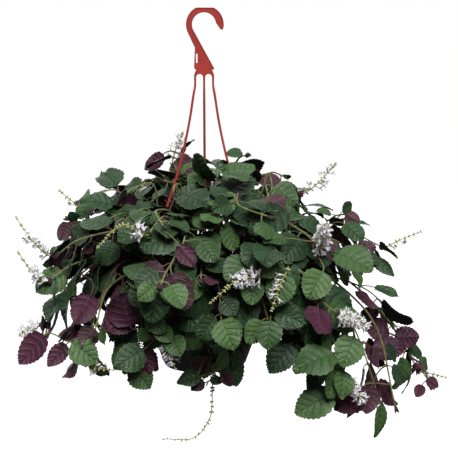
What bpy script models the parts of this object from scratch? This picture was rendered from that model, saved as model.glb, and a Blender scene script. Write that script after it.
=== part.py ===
"""A hanging pot of swedish ivy: a turned plastic pot, its moulded hook with three strands, potting soil,
and trailing leafy shoots that arch over the rim, many of them ending in a spike of small flowers.

Metres, +Z up. The origin is the top of the hook's inner curve, where the pot hangs. The front is -Y.
"""

import math
import random

import bmesh
import bpy
from mathutils import Vector
from mathutils.bvhtree import BVHTree

MM = 0.001
GAP = 0.3 * MM
UP = Vector((0.0, 0.0, 1.0))

# Pot
RIM_Z = -0.430
POT_HEIGHT = 0.168
POT_BASE_Z = RIM_Z - POT_HEIGHT
RIM_BAND_RADIUS = 0.119
FLANGE_RADIUS = 0.1275
FLANGE_THICKNESS = 3.2 * MM
RIM_BAND_HEIGHT = 0.019
BOWL_TOP_RADIUS = 0.1155
BASE_RADIUS = 0.068
FOOT_HEIGHT = 3.0 * MM
WALL = 2.0 * MM
POT_SIDES = 28
BOWL_STEPS = 2
DRAIN_HOLES = 5
DRAIN_RADIUS = 4.5 * MM
DRAIN_CIRCLE = 0.036

# Soil
SOIL_TOP = RIM_Z - 0.016
ROOT_DEPTH = 0.012

# Hook and strands
HOOK_INNER_RADIUS = 0.020
HOOK_OUTER_RADIUS = 0.0315
HOOK_OFFSET = 1.5 * MM
CROWN_THICKNESS = 8.0 * MM
INNER_ARC_START = 9.0
INNER_ARC_END = 207.0
INNER_ARC_STEPS = 11
PLATE = 4.4 * MM
SHOULDER_Z = -0.094
HEAD_BOTTOM_Z = -0.112
LEG_OFFSET = 15.0 * MM
LEG_WIDTH = 3.6 * MM
STRAND_WIDTH = 3.4 * MM
STRAND_DEPTH = 2.6 * MM
STRAND_STEPS = 9
STRAND_BOW = 0.65
LUG_RADIUS = 0.1232
LUG_ANGLES = {"left": -150.0, "right": -30.0, "back": 90.0}
SLOT_WIDTH = 6.4 * MM
SLOT_DEPTH = 3.8 * MM
BARB_WIDTH = 9.0 * MM
BARB_DEPTH = 3.2 * MM
BARB_HEIGHT = 3.0 * MM
BARB_TIP_WIDTH = 3.0 * MM
BARB_TIP_DEPTH = 1.6 * MM
STRAND_TURN = 0.040
CORNERS = ((1, -1), (1, 1), (-1, 1), (-1, -1))

# Shoots
SHOOT_RADIUS = 2.3 * MM
TIP_RADIUS = 1.25 * MM
NODE_HALF = 2.0 * MM
RING_SPACING = 0.045
PETIOLE_RADIUS = 1.2 * MM
LEAF_WIDTH_RATIO = 0.86
LEAF_LENGTH = 0.064
BLADE_HALF_THICKNESS = 1.0 * MM
LEAF_TRIES = 22
LEAF_CLEARANCE = 1.6 * MM
BLADE_MARGIN = 1.04
LAYOUT_SEED = 203
STEM_TRIES = 80
SHOWN_TRIES = 16
ARCH_LOW_Z = -0.404
MOUND_CENTRE_Z = -0.475
MOUND_RADIUS = 0.30
MOUND_HEIGHT = 0.21

# Flower spikes
RACHIS_TIP_RADIUS = 0.7 * MM
WHORL_SPACING = 0.016
FLORET_LENGTH = 11.0 * MM
FLORET_RADIUS = 3.0 * MM
FLORET_MOUTH = 0.72
FLORET_FOOT = 1.2 * MM
SPIKE_KEEP_OUT = 9.0 * MM

# The blade's outline down one side: place along the midrib, and how far a tooth stands out or a notch cuts in
OUTLINE = ((0.06, 1.0), (0.28, 1.04), (0.45, 0.91), (0.61, 1.06), (0.81, 1.02))
YOUNG_OUTLINE = ((0.10, 1.0), (0.42, 0.97), (0.72, 1.08))
YOUNG_LENGTH = 0.048
MIDRIB_STATION = 0.45

SHARP_ANGLE = 32.0
BRICK = ((0.33, 0.045, 0.035), 0.42)
CHARCOAL = ((0.030, 0.026, 0.031), 0.45)
SOIL_BROWN = ((0.035, 0.022, 0.014), 0.95)
LEAF_GREEN = ((0.07, 0.16, 0.05), 0.55)
FLOWER_WHITE = ((0.72, 0.68, 0.70), 0.6)

# The shoots that show one by one: the stem's tip, leaf pairs, and the flower spike's way on from the tip.
SHOWN_SHOOTS = (
    ("crown_left", (-0.049, 0.020, -0.258), 4, ((0.004, 0.0, 0.028), (0.016, 0.0, 0.056))),
    ("upper_right", (0.163, 0.020, -0.303), 4, ((0.028, 0.0, 0.018), (0.056, 0.0, 0.050))),
    ("upper_left", (-0.207, 0.000, -0.319), 4, ((-0.018, 0.0, 0.008), (-0.034, 0.0, 0.022))),
    ("left_high", (-0.250, -0.050, -0.400), 5, ((-0.030, -0.005, 0.024), (-0.057, -0.010, 0.066))),
    ("left_mid", (-0.252, -0.100, -0.432), 5, ((-0.026, -0.010, 0.018), (-0.046, -0.020, 0.050))),
    ("left_far", (-0.262, -0.100, -0.505), 4, ((-0.018, -0.010, -0.002), (-0.034, -0.020, -0.010))),
    ("left_low", (-0.191, -0.150, -0.556), 4, ((0.024, -0.010, -0.008), (0.048, -0.020, -0.008))),
    ("left_arch", (-0.083, -0.180, -0.345), 4, ((-0.040, -0.020, 0.018), (-0.076, -0.040, -0.014))),
    ("front_left", (-0.052, -0.190, -0.512), 4, ((0.006, -0.005, -0.020), (0.016, -0.010, -0.042))),
    ("front_low", (0.009, -0.145, -0.545), 3,
     ((0.0, 0.0, -0.045), (-0.004, 0.0, -0.095), (-0.030, 0.0, -0.128), (-0.080, 0.0, -0.130))),
    ("front_arch", (0.092, -0.236, -0.400), 4, ((-0.036, -0.016, -0.004), (-0.080, -0.026, -0.038))),
    ("front_pair", (0.130, -0.240, -0.385), 3, ((-0.010, -0.012, -0.030), (-0.020, -0.014, -0.062))),
    ("right_cluster", (0.182, -0.165, -0.366), 4, ((0.004, -0.020, 0.020), (0.006, -0.036, 0.034))),
    ("right_bud", (0.225, -0.115, -0.400), 4, ((0.016, -0.008, 0.010), (0.030, -0.014, 0.034))),
    ("right_mid", (0.208, -0.200, -0.464), 4, ((0.020, -0.010, -0.004), (0.042, -0.014, -0.016))),
    ("right_far", (0.299, 0.000, -0.393), 4, ((0.030, 0.0, 0.012), (0.064, 0.0, 0.026))),
    ("right_front", (0.225, -0.200, -0.566), 4, ((0.012, 0.0, -0.020), (0.028, 0.0, -0.040))),
    ("long_right", (0.356, -0.080, -0.587), 4, ((0.020, 0.0, -0.006), (0.044, 0.0, -0.012))),
    ("right_hanging", (0.290, -0.120, -0.632), 5, ()),
    ("right_purple", (0.325, -0.080, -0.525), 4, ()),
    ("right_low", (0.190, -0.190, -0.585), 4, ()),
    ("front_drop", (0.030, -0.225, -0.475), 3, ()),
    ("front_drop_right", (0.102, -0.228, -0.480), 3, ()),
    ("left_curl", (-0.105, -0.170, -0.535), 4, ()),
    ("front_upper_left", (-0.030, -0.200, -0.360), 4, ()),
    ("front_upper", (0.035, -0.165, -0.322), 4, ()),
)
# The rings of shoots that fill the crown and the back: how many, the first and last direction in degrees,
# the tips' radius and height, and the leaf pairs.
FILLING_SHOOTS = (
    ("crown", 2, (-70.0, 60.0), 0.095, -0.268, 4),
    ("back_upper", 3, (45.0, 140.0), 0.195, -0.335, 4),
    ("back_middle", 3, (20.0, 165.0), 0.255, -0.430, 4),
    ("back_low", 2, (60.0, 118.0), 0.225, -0.545, 4),
)
# The leaves that stand out, placed by hand: the blade's base and tip in mm, which way its upper side looks,
# and its width over its length.
SHOWN_LEAVES = (
    ((30, -245, -470), (50, -260, -515), "out", 0.88),
    ((105, -250, -470), (100, -260, -515), "out", 0.85),
    ((140, -190, -520), (105, -205, -565), "out", 0.75),
    ((205, -235, -525), (140, -255, -550), "up", 0.8),
    ((235, -215, -505), (215, -235, -550), "out", 0.85),
    ((205, -215, -595), (145, -225, -625), "out", 0.72),
    ((290, -130, -635), (280, -135, -690), "side", 0.7),
    ((290, -135, -600), (220, -160, -625), "under", 0.72),
    ((315, -90, -530), (355, -100, -530), "under", 0.85),
    ((305, -85, -525), (265, -100, -510), "under", 0.8),
    ((275, -100, -550), (330, -110, -550), "under", 0.7),
    ((280, -20, -410), (320, -30, -440), "up", 0.55),
    ((285, -50, -455), (325, -60, -470), "up", 0.5),
    ((215, -130, -385), (270, -160, -410), "up", 0.85),
    ((190, -190, -405), (165, -210, -445), "out", 0.9),
    ((135, -130, -315), (75, -170, -345), "out", 0.62),
    ((130, -200, -350), (95, -215, -355), "up", 0.65),
    ((-35, -130, -290), (10, -170, -305), "up", 0.8),
    ((20, -140, -290), (45, -170, -315), "up", 1.0),
    ((0, -210, -355), (20, -225, -385), "up", 1.0),
    ((-45, -230, -400), (-20, -245, -455), "under", 0.72),
    ((-10, -225, -400), (15, -235, -425), "under", 0.8),
    ((-35, -215, -360), (-10, -230, -390), "under", 0.7),
    ((-115, -180, -495), (-130, -200, -435), "under", 0.9),
    ((-70, -200, -420), (-80, -225, -480), "out", 0.78),
    ((-230, -80, -425), (-275, -100, -455), "out", 0.8),
    ((-270, -100, -520), (-300, -120, -565), "under", 0.62),
    ((-95, -170, -535), (-140, -190, -560), "out", 0.8),
    ((-55, 0, -240), (-100, -10, -260), "high", 0.6),
    ((-150, -50, -315), (-205, -60, -310), "up", 0.6),
    ((-185, -120, -515), (-235, -140, -520), "under", 0.5),
    ((-210, -150, -530), (-165, -165, -555), "up", 0.6),
    ((-220, -150, -530), (-250, -160, -565), "under", 0.6),
    ((-180, -140, -450), (-205, -160, -495), "under", 0.75),
    ((35, -235, -440), (50, -245, -465), "out", 1.0),
    ((115, -225, -460), (160, -235, -480), "out", 0.75),
    ((130, -240, -400), (110, -250, -450), "out", 0.8),
    ((35, -140, -545), (55, -150, -600), "out", 0.7),
)
FACINGS = {
    "out": (0.0, -0.92, 0.38),
    "up": (0.0, -0.55, 0.83),
    "side": (0.8, -0.6, 0.1),
    "high": (-0.2, 0.2, 0.95),
    "under": (0.1, 0.92, -0.28),
}
SHOWN_DROOP = 0.45
SHOWN_REACH = 0.072
PURPLE_SHOOTS = ("right_hanging", "right_purple", "left_curl", "left_far", "left_low")


def rotated(vector, axis, degrees):
    """The vector turned about an axis."""
    angle = math.radians(degrees)
    axis = axis.normalized()
    along = axis * vector.dot(axis)
    across = vector - along
    return along + across * math.cos(angle) + axis.cross(across) * math.sin(angle)


def polar(radius, degrees, z):
    """A point at a radius and direction from the pot's axis."""
    angle = math.radians(degrees)
    return Vector((radius * math.cos(angle), radius * math.sin(angle), z))


def smooth_route(points, spacing):
    """Points at an even spacing along a smooth curve through the given ones."""
    ends = [points[0] * 2 - points[1], *points, points[-1] * 2 - points[-2]]
    fine = []
    for before, a, b, after in zip(ends, ends[1:], ends[2:], ends[3:]):
        spans = [math.sqrt((q - p).length) for p, q in ((before, a), (a, b), (b, after))]
        leave = (a - before) / spans[0] - (b - before) / (spans[0] + spans[1]) + (b - a) / spans[1]
        arrive = (b - a) / spans[1] - (after - a) / (spans[1] + spans[2]) + (after - b) / spans[2]
        for step in range(16):
            t = step / 16
            blend = t * t * (3 - 2 * t)
            bend = leave * (t * (1 - t) ** 2) - arrive * (t * t * (1 - t))
            fine.append(a.lerp(b, blend) + bend * spans[1])
    fine.append(points[-1].copy())
    lengths = [0.0]
    for a, b in zip(fine, fine[1:]):
        lengths.append(lengths[-1] + (b - a).length)
    count = max(2, round(lengths[-1] / spacing))
    even, place = [], 0
    for i in range(count + 1):
        want = lengths[-1] * i / count
        while place < len(fine) - 2 and lengths[place + 1] < want:
            place += 1
        share = (want - lengths[place]) / max(1e-9, lengths[place + 1] - lengths[place])
        even.append(fine[place].lerp(fine[place + 1], min(1.0, share)))
    return even


class Route:
    """A smooth curve with a frame at any distance along it: position, tangent, side and upper side."""

    def __init__(self, points, side):
        self.points = smooth_route(points, 2.5 * MM)
        self.step = (self.points[1] - self.points[0]).length
        self.length = sum((b - a).length for a, b in zip(self.points, self.points[1:]))
        self.sides = []
        for i in range(len(self.points)):
            tangent = self.tangent(i)
            side = (side - tangent * side.dot(tangent)).normalized()
            self.sides.append(side)

    def tangent(self, i):
        return (self.points[min(i + 1, len(self.points) - 1)] - self.points[max(i - 1, 0)]).normalized()

    def frame(self, distance):
        """Position, tangent, side and upper side at a distance from the start."""
        share = max(0.0, min(1.0, distance / self.length)) * (len(self.points) - 1)
        i = min(int(share), len(self.points) - 2)
        position = self.points[i].lerp(self.points[i + 1], share - i)
        tangent = self.tangent(i).lerp(self.tangent(i + 1), share - i).normalized()
        side = self.sides[i].lerp(self.sides[i + 1], share - i)
        side = (side - tangent * side.dot(tangent)).normalized()
        return position, tangent, side, side.cross(tangent)


def ring_of(position, side, upper, radius):
    """The four corners of a square stem, so that its faces look to side, upper, -side and -upper."""
    half = radius * math.sqrt(0.5)
    return [position + side * (a * half) + upper * (b * half) for a, b in CORNERS]


class Obstacles:
    """The solids placed so far, tested by their surfaces' crossing. A stem is kept under its shoot's name."""

    def __init__(self):
        self.items = []

    def add(self, points, faces, name=None):
        low = Vector(map(min, zip(*points)))
        high = Vector(map(max, zip(*points)))
        self.items.append((name, low, high, BVHTree.FromPolygons(points, faces)))

    def hit(self, points, faces, skip=""):
        """Whether a mesh crosses one that is already placed, apart from the stem to skip."""
        low = Vector(map(min, zip(*points)))
        high = Vector(map(max, zip(*points)))
        tree = None
        for name, other_low, other_high, other in self.items:
            if name == skip or any(low[k] > other_high[k] or high[k] < other_low[k] for k in range(3)):
                continue
            tree = tree or BVHTree.FromPolygons(points, faces)
            if tree.overlap(other):
                return True
        return False


def tube_mesh(route, start, end, radius_at, spacing):
    """A closed square tube along a route, as points and faces."""
    count = max(2, math.ceil((end - start) / spacing))
    points, faces = [], []
    for i in range(count + 1):
        distance = start + (end - start) * i / count
        position, _, side, upper = route.frame(distance)
        points += ring_of(position, side, upper, radius_at(distance))
    for i in range(count):
        for k in range(4):
            a, b = 4 * i + k, 4 * i + (k + 1) % 4
            faces.append((a, b, b + 4, a + 4))
    faces += [(3, 2, 1, 0), tuple(range(4 * count, 4 * count + 4))]
    return points, faces


def bowl_profile():
    """Radius and height of the pot's outside, from the foot up to the rim band."""
    profile = []
    low, high = POT_BASE_Z + 2 * FOOT_HEIGHT, RIM_Z - RIM_BAND_HEIGHT
    for i in range(BOWL_STEPS + 1):
        share = i / BOWL_STEPS
        swell = math.sin(share * math.pi / 2) * 0.35 + share * 0.65
        radius = BASE_RADIUS + 3 * MM + (BOWL_TOP_RADIUS - BASE_RADIUS - 3 * MM) * swell
        profile.append((radius, low + (high - low) * share))
    return profile


def pot_keep_out():
    """A plain solid of revolution round the pot and its soil, as points and faces."""
    outline = [(BASE_RADIUS, POT_BASE_Z), *bowl_profile(), (FLANGE_RADIUS, RIM_Z - RIM_BAND_HEIGHT)]
    outline += [(FLANGE_RADIUS, RIM_Z), (BOWL_TOP_RADIUS, RIM_Z), (BOWL_TOP_RADIUS, SOIL_TOP)]
    outline = [(radius + 1.5 * MM, z) for radius, z in outline[:-2]] + outline[-2:]
    sides = 28
    points = [polar(radius, 360 * k / sides, z) for radius, z in outline for k in range(sides)]
    faces = []
    for i in range(len(outline) - 1):
        for k in range(sides):
            a, b = i * sides + k, i * sides + (k + 1) % sides
            faces.append((a, b, b + sides, a + sides))
    faces += [tuple(reversed(range(sides))), tuple(range(len(points) - sides, len(points)))]
    return points, faces


def strand_route(name):
    """A strand from the hook's head to its slot in the rim, straight down at both ends."""
    start_x = {"left": -LEG_OFFSET, "right": LEG_OFFSET, "back": 0.0}[name]
    slot = polar(LUG_RADIUS, LUG_ANGLES[name], RIM_Z)
    top = Vector((start_x, 0.0, HEAD_BOTTOM_Z - GAP))
    reach = Vector((slot.x - start_x, slot.y, 0.0))
    points = [top, top - UP * 8 * MM]
    for drop in (0.08, 0.20, 0.32, 0.46, 0.60, 0.74, 0.88):
        spread = (1 - STRAND_BOW) * drop + STRAND_BOW * drop**2
        points.append(top + reach * spread + UP * (RIM_Z - top.z) * drop)
    points += [slot + UP * 5 * MM, slot - UP * (FLANGE_THICKNESS + GAP)]
    return Route(points, Vector((slot.y, -slot.x, 0.0)).normalized())


def sight_keep_out():
    """A thin curtain from the left strand's upper part towards the front, which leaves stay out of."""
    route = strand_route("left")
    points, faces = [], []
    count = 8
    for i in range(count + 1):
        position = route.frame(route.length * (0.20 + 0.44 * i / count))[0]
        for forward, sideways in ((0.004, -2.5 * MM), (0.004, 2.5 * MM), (0.16, 2.5 * MM), (0.16, -2.5 * MM)):
            points.append(position + Vector((sideways, -forward, 0.14 * forward)))
    for i in range(count):
        for k in range(4):
            a, b = 4 * i + k, 4 * i + (k + 1) % 4
            faces.append((a, b, b + 4, a + 4))
    faces += [(3, 2, 1, 0), tuple(range(4 * count, 4 * count + 4))]
    return points, faces


def root_sites(count):
    """Places on the soil, spread like the seeds of a sunflower."""
    return [polar(0.1 * math.sqrt((i + 0.5) / count), i * 137.508, SOIL_TOP) for i in range(count)]


def arch_over(tip):
    """Where a shoot roots and the points of its way over the rim or up through the crown to the tip."""
    reach = tip.xy.length
    angle = math.degrees(math.atan2(tip.y, tip.x))
    root = min(0.095, 0.012 + 0.38 * reach)
    top = max(ARCH_LOW_Z, tip.z + 0.20 * max(0.0, reach - 0.10))
    middle = min(root + 0.5 * (reach - root), 0.170)
    # A steep fall stays near the pot until it is well below the rim.
    points = [
        polar(root + 0.28 * (middle - root), angle, SOIL_TOP + 0.58 * (top - SOIL_TOP)),
        polar(middle, angle, top),
        polar(middle + 0.62 * (reach - middle), angle, top + 0.42 * (tip.z - top)),
        tip,
    ]
    return polar(root, angle, SOIL_TOP), points


def planned_shoots(rng):
    """All shoots: name, wanted root, the route's points after it, leaf pairs, and the spike's way."""
    shoots = []
    for name, tip, pairs, spike in SHOWN_SHOOTS:
        root, points = arch_over(Vector(tip))
        shoots.append((name, root, points, pairs, [Vector(point) for point in spike]))
    for ring, count, (first, last), radius, height, pairs in FILLING_SHOOTS:
        for i in range(count):
            angle = first + (last - first) * i / (count - 1) + rng.uniform(-7, 7)
            tip = polar(radius * rng.uniform(0.94, 1.06), angle, height + rng.uniform(-0.012, 0.012))
            root, points = arch_over(tip)
            shoots.append((f"{ring}_{i + 1}", root, points, pairs, []))
    return shoots


def seat_roots(shoots):
    """Each shoot takes the free site nearest to where it wants to root, the outer ones first."""
    free = root_sites(len(shoots) + 2)
    seated = []
    for name, wanted, route, pairs, way in sorted(shoots, key=lambda s: -s[1].xy.length):
        site = min(free, key=lambda p: (p - wanted).length)
        free.remove(site)
        seated.append((name, site, route, pairs, way))
    return seated


def shoot_radius(length):
    """A shoot's radius by the distance along it."""
    return lambda distance: SHOOT_RADIUS + (TIP_RADIUS - SHOOT_RADIUS) * distance / length


def place_stem(rng, obstacles, site, via):
    """A route for a shoot's stem that crosses nothing placed before it, or None."""
    side = UP.cross(Vector((via[0].x, via[0].y, 0.0)))
    start = [site - UP * ROOT_DEPTH, site - UP * ROOT_DEPTH / 2, site, site + UP * 6 * MM]
    for attempt in range(STEM_TRIES):
        spread = attempt * 0.7 * MM
        moved = [p + Vector([rng.uniform(-spread, spread) for _ in range(3)]) for p in via]
        route = Route([*start, *moved], side)
        radius_at = shoot_radius(route.length)
        tube = tube_mesh(route, ROOT_DEPTH + 6 * MM, route.length, lambda d: radius_at(d) + 1.2 * MM, 0.012)
        if not obstacles.hit(*tube):
            return route
    return None


def place_spike(rng, obstacles, route, way):
    """A spike's route on from the shoot's tip that crosses nothing placed before it, or None."""
    position, tangent, side, _ = route.frame(route.length)
    start = position + tangent * GAP
    for attempt in range(STEM_TRIES):
        spread = attempt * 0.6 * MM
        points = [start, start + tangent * 6 * MM]
        for k, offset in enumerate(way):
            stray = Vector([rng.uniform(-spread, spread) for _ in range(3)])
            points.append(position + tangent * 4 * MM + offset + stray * (k + 1) / len(way))
        spike = Route(points, side)
        envelope = tube_mesh(spike, 8 * MM, spike.length, lambda d: SPIKE_KEEP_OUT, 0.012)
        if not obstacles.hit(*envelope):
            return spike
    return None


class Leaf:
    """A blade on its petiole: where the blade starts, its axes (across, along, normal), size and bend."""

    def __init__(self, start, across, along, normal, length, width, droop, cup, face):
        self.start = start
        self.across = across
        self.along = along
        self.normal = normal
        self.length = length
        self.width = width
        self.droop = droop
        self.cup = cup
        self.face = face

    def half_width(self, station):
        """Half the blade's width at a place along the midrib, from 0 at the base to 1 at the tip."""
        return 0.5 * self.width * math.sin(math.pi * station**0.62) ** 0.7

    def point(self, side, station, lift=0.0):
        """A point on the blade: side from -1 to 1 of its half width, raised by lift off its middle."""
        turn = self.droop * station
        if abs(self.droop) > 1e-3:
            forward = self.length / self.droop * math.sin(turn)
            sink = self.length / self.droop * (1 - math.cos(turn))
        else:
            forward, sink = self.length * station, 0.0
        out = side * self.half_width(min(1.0, station)) if station < 1 else 0.0
        height = self.cup * out * out / (0.5 * self.width) + lift
        local_up = self.normal * math.cos(turn) + self.along * math.sin(turn)
        return self.start + self.across * out + self.along * forward - self.normal * sink + local_up * height

    def neck(self, radius=PETIOLE_RADIUS):
        """The petiole's end, four corners: right, top, left and bottom."""
        return [
            self.start + self.across * radius,
            self.start + self.normal * radius,
            self.start - self.across * radius,
            self.start - self.normal * radius,
        ]

    def outline(self, scale=1.0):
        """The edge from the right of the base round the tip to the left."""
        stations = YOUNG_OUTLINE if self.length < YOUNG_LENGTH else OUTLINE
        right = [self.point(scale * out, station) for station, out in stations]
        left = [self.point(-scale * out, station) for station, out in stations]
        return right + [self.point(0.0, scale)] + left[::-1]

    def blade(self, thickness=BLADE_HALF_THICKNESS, scale=1.0):
        """The blade with its neck as points and faces, open where the petiole joins."""
        points = self.neck() + self.outline(scale)
        edge = [0, *range(4, len(points)), 2]
        points += [self.point(0.0, MIDRIB_STATION, thickness), self.point(0.0, MIDRIB_STATION, -thickness)]
        top, bottom = len(points) - 2, len(points) - 1
        faces = [(top, a, b) for a, b in zip(edge, edge[1:])] + [(top, 2, 1), (top, 1, 0)]
        faces += [(bottom, b, a) for a, b in zip(edge, edge[1:])] + [(bottom, 3, 2), (bottom, 0, 3)]
        return points, faces


def mound_normal(position):
    """Outwards from the mound of leaves: up at its crown and sideways on its skirt."""
    outward = Vector((position.x, position.y, 0.0))
    radius = max(outward.length, 1 * MM)
    angle = math.atan2((position.z - MOUND_CENTRE_Z) / MOUND_HEIGHT, radius / MOUND_RADIUS)
    angle = max(angle, math.radians(14))
    return outward / radius * math.cos(angle) + UP * math.sin(angle)


def nearest_face(turn):
    """Which of the stem's four faces looks most nearly along an angle round it."""
    return min(range(4), key=lambda face: abs((turn - 90 * face + 180) % 360 - 180))


def make_leaf(rng, route, distance, turn, length, attempt, flip_chance):
    """One leaf at a node, turned round the stem by an angle from its side. Later attempts stray further."""
    position, tangent, side, upper = route.frame(distance)
    stray = 8 + 2.2 * attempt
    turn += rng.uniform(-stray, stray) * 0.6
    around = side * math.cos(math.radians(turn)) + upper * math.sin(math.radians(turn))
    face = nearest_face(turn)
    petiole = (around + tangent * rng.uniform(0.15, 0.45)).normalized()
    outward = mound_normal(position)
    low = min(1.0, max(0.0, (-0.33 - position.z) / 0.20))
    size = length * rng.uniform(0.88, 1.10) * (1 - 0.014 * attempt)
    start = position + petiole * (0.17 * size + SHOOT_RADIUS + rng.uniform(0.0, 6.0) * MM)
    along = petiole * 0.95 + tangent * rng.uniform(0.2, 0.7) - UP * (0.15 + 0.75 * low) + outward * 0.25
    along = (along.normalized() + Vector([rng.uniform(-1, 1) for _ in range(3)]) * (0.12 + 0.02 * attempt))
    along.normalize()
    if along.dot(petiole) < 0.5:
        along = (along + petiole * 0.6).normalized()
    facing = outward + Vector([rng.uniform(-1, 1) for _ in range(3)]) * (0.22 + 0.02 * attempt)
    normal = facing - along * facing.dot(along)
    if normal.length < 0.15:
        normal = UP - along * UP.dot(along) + side * 0.01
    normal.normalize()
    if rng.random() < flip_chance:
        normal = -normal
    normal = rotated(normal, along, rng.uniform(-16, 16))
    across = along.cross(normal)
    width = size * LEAF_WIDTH_RATIO * rng.uniform(0.92, 1.06)
    droop = rng.uniform(0.15, 0.75)
    cup = rng.uniform(-0.22, 0.16)
    return Leaf(start, across, along, normal, size, width, droop, cup, face)


def socket_points(route, distance, face):
    """The corners of the patch of a stem's face that a petiole grows from, in add_leaf's order."""
    radius_at = shoot_radius(route.length)
    rings = []
    for place in (distance - NODE_HALF, distance + NODE_HALF):
        position, _, side, upper = route.frame(place)
        rings.append(ring_of(position, side, upper, radius_at(place)))
    following = (face + 1) % 4
    return [rings[0][face], rings[0][following], rings[1][following], rings[1][face]]


def matched(socket, neck):
    """The neck's corners in the order that twists the petiole least; both run round the same way."""
    orders = [neck[shift:] + neck[:shift] for shift in range(4)]
    return min(orders, key=lambda order: sum((a - b).length for a, b in zip(socket, order)))


def petiole_mesh(route, distance, leaf, first=0.0, last=1.0, grow=0.3 * MM):
    """A stretch of the petiole, a little thicker than itself, as points and faces."""
    socket = socket_points(route, distance, leaf.face)
    neck = matched(socket, leaf.neck())
    points = []
    for share in (first, last):
        ring = [a.lerp(b, share) for a, b in zip(socket, neck)]
        centre = sum(ring, Vector()) / 4
        points += [p + (p - centre).normalized() * grow for p in ring]
    faces = [(k, (k + 1) % 4, (k + 1) % 4 + 4, k + 4) for k in range(4)] + [(3, 2, 1, 0), (4, 5, 6, 7)]
    return points, faces


def petiole_fits(obstacles, name, route, distance, leaf):
    """Whether the petiole comes from behind its blade and crosses neither blade, stem nor anything else."""
    line = leaf.start - sum(socket_points(route, distance, leaf.face), Vector()) / 4
    if line.normalized().dot(leaf.along) < 0.2:
        return False
    blade = Obstacles()
    blade.add(*leaf.blade())
    if blade.hit(*petiole_mesh(route, distance, leaf, first=0.15, last=0.85, grow=0.1 * MM)):
        return False
    if obstacles.hit(*petiole_mesh(route, distance, leaf, first=0.28, grow=0.6 * MM)):
        return False
    if obstacles.hit(*petiole_mesh(route, distance, leaf, first=0.06, last=0.5, grow=0.1 * MM), skip=name):
        return False
    return not obstacles.hit(*petiole_mesh(route, distance, leaf, first=0.15, grow=0.4 * MM), skip=name)


def inside_pot(points):
    """Whether a point lies in the pot or its soil."""
    profile = bowl_profile()
    for p in points:
        radius = math.hypot(p.x, p.y)
        if p.z < SOIL_TOP + 2 * MM and radius < BOWL_TOP_RADIUS and p.z > RIM_Z - RIM_BAND_HEIGHT:
            return True
        if POT_BASE_Z < p.z <= RIM_Z - RIM_BAND_HEIGHT:
            share = (p.z - POT_BASE_Z) / (profile[-1][1] - POT_BASE_Z)
            if radius < BASE_RADIUS + (BOWL_TOP_RADIUS - BASE_RADIUS) * share:
                return True
    return False


def place_leaf(rng, obstacles, shoot, index, turn, length, flip_chance):
    """A leaf that crosses nothing placed before it, on a free face of a shoot's node, or None."""
    distance, leaves = shoot.nodes[index]
    taken = [other.face for other in leaves]
    for attempt in range(LEAF_TRIES):
        leaf = make_leaf(rng, shoot.route, distance, turn, length, attempt, flip_chance)
        points, faces = leaf.blade(LEAF_CLEARANCE, BLADE_MARGIN)
        if leaf.face in taken or inside_pot(points) or obstacles.hit(points, faces):
            continue
        if petiole_fits(obstacles, shoot.name, shoot.route, distance, leaf):
            obstacles.add(points, faces)
            obstacles.add(*petiole_mesh(shoot.route, distance, leaf))
            return leaf
    return None


def shown_leaf(rng, row, attempt):
    """One of the leaves that stand out, as its row says; later attempts stray a little."""
    base, tip, facing, ratio = row
    stray = Vector([rng.uniform(-1, 1) for _ in range(3)]) * attempt * 0.5 * MM
    base, tip = Vector(base) * MM + stray, Vector(tip) * MM + stray
    chord = (tip - base).normalized()
    facing = Vector(FACINGS[facing]) + Vector([rng.uniform(-0.12, 0.12) for _ in range(3)])
    normal = (facing - chord * facing.dot(chord)).normalized()
    half = SHOWN_DROOP / 2
    along = chord * math.cos(half) + normal * math.sin(half)
    upward = normal * math.cos(half) - chord * math.sin(half)
    length = (tip - base).length * half / math.sin(half)
    return Leaf(base, along.cross(upward), along, upward, length, length * ratio, SHOWN_DROOP,
                rng.uniform(-0.12, 0.08), 0)


def free_nodes(shoots, leaf):
    """The nodes within a petiole's reach of a blade, the best placed first: shoot, index and face."""
    found = []
    for shoot in shoots:
        for index, (distance, leaves) in enumerate(shoot.nodes):
            position, tangent, side, upper = shoot.route.frame(distance)
            line = leaf.start - position
            if len(leaves) == 2 or not 7 * MM < line.length < SHOWN_REACH:
                continue
            turn = math.degrees(math.atan2(line.dot(upper), line.dot(side)))
            face = nearest_face(turn)
            if face in [other.face for other in leaves] or abs(line.dot(tangent)) > 0.92 * line.length:
                continue
            cost = line.length + 0.02 * (1 - line.normalized().dot(leaf.along))
            found.append((cost, len(found), shoot, index, face))
    return [item[2:] for item in sorted(found, key=lambda item: item[:2])]


def place_shown_leaf(rng, obstacles, shoots, row):
    """Puts one of the leaves that stand out on the nearest free node, if it crosses nothing."""
    for attempt in range(SHOWN_TRIES):
        leaf = shown_leaf(rng, row, attempt)
        points, faces = leaf.blade(LEAF_CLEARANCE, BLADE_MARGIN)
        if inside_pot(points) or obstacles.hit(points, faces):
            continue
        for shoot, index, face in free_nodes(shoots, leaf)[:4]:
            leaf.face = face
            distance, leaves = shoot.nodes[index]
            if petiole_fits(obstacles, shoot.name, shoot.route, distance, leaf):
                obstacles.add(points, faces)
                obstacles.add(*petiole_mesh(shoot.route, distance, leaf))
                leaves.append(leaf)
                return True
    return False


def pair_turns(index, mirrored):
    """The two leaves' angles round the stem: to both sides, then one raised over it and one lowered."""
    if index % 2 == 0:
        return (18.0, 162.0)
    return (112.0, -14.0) if mirrored else (68.0, 194.0)


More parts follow.
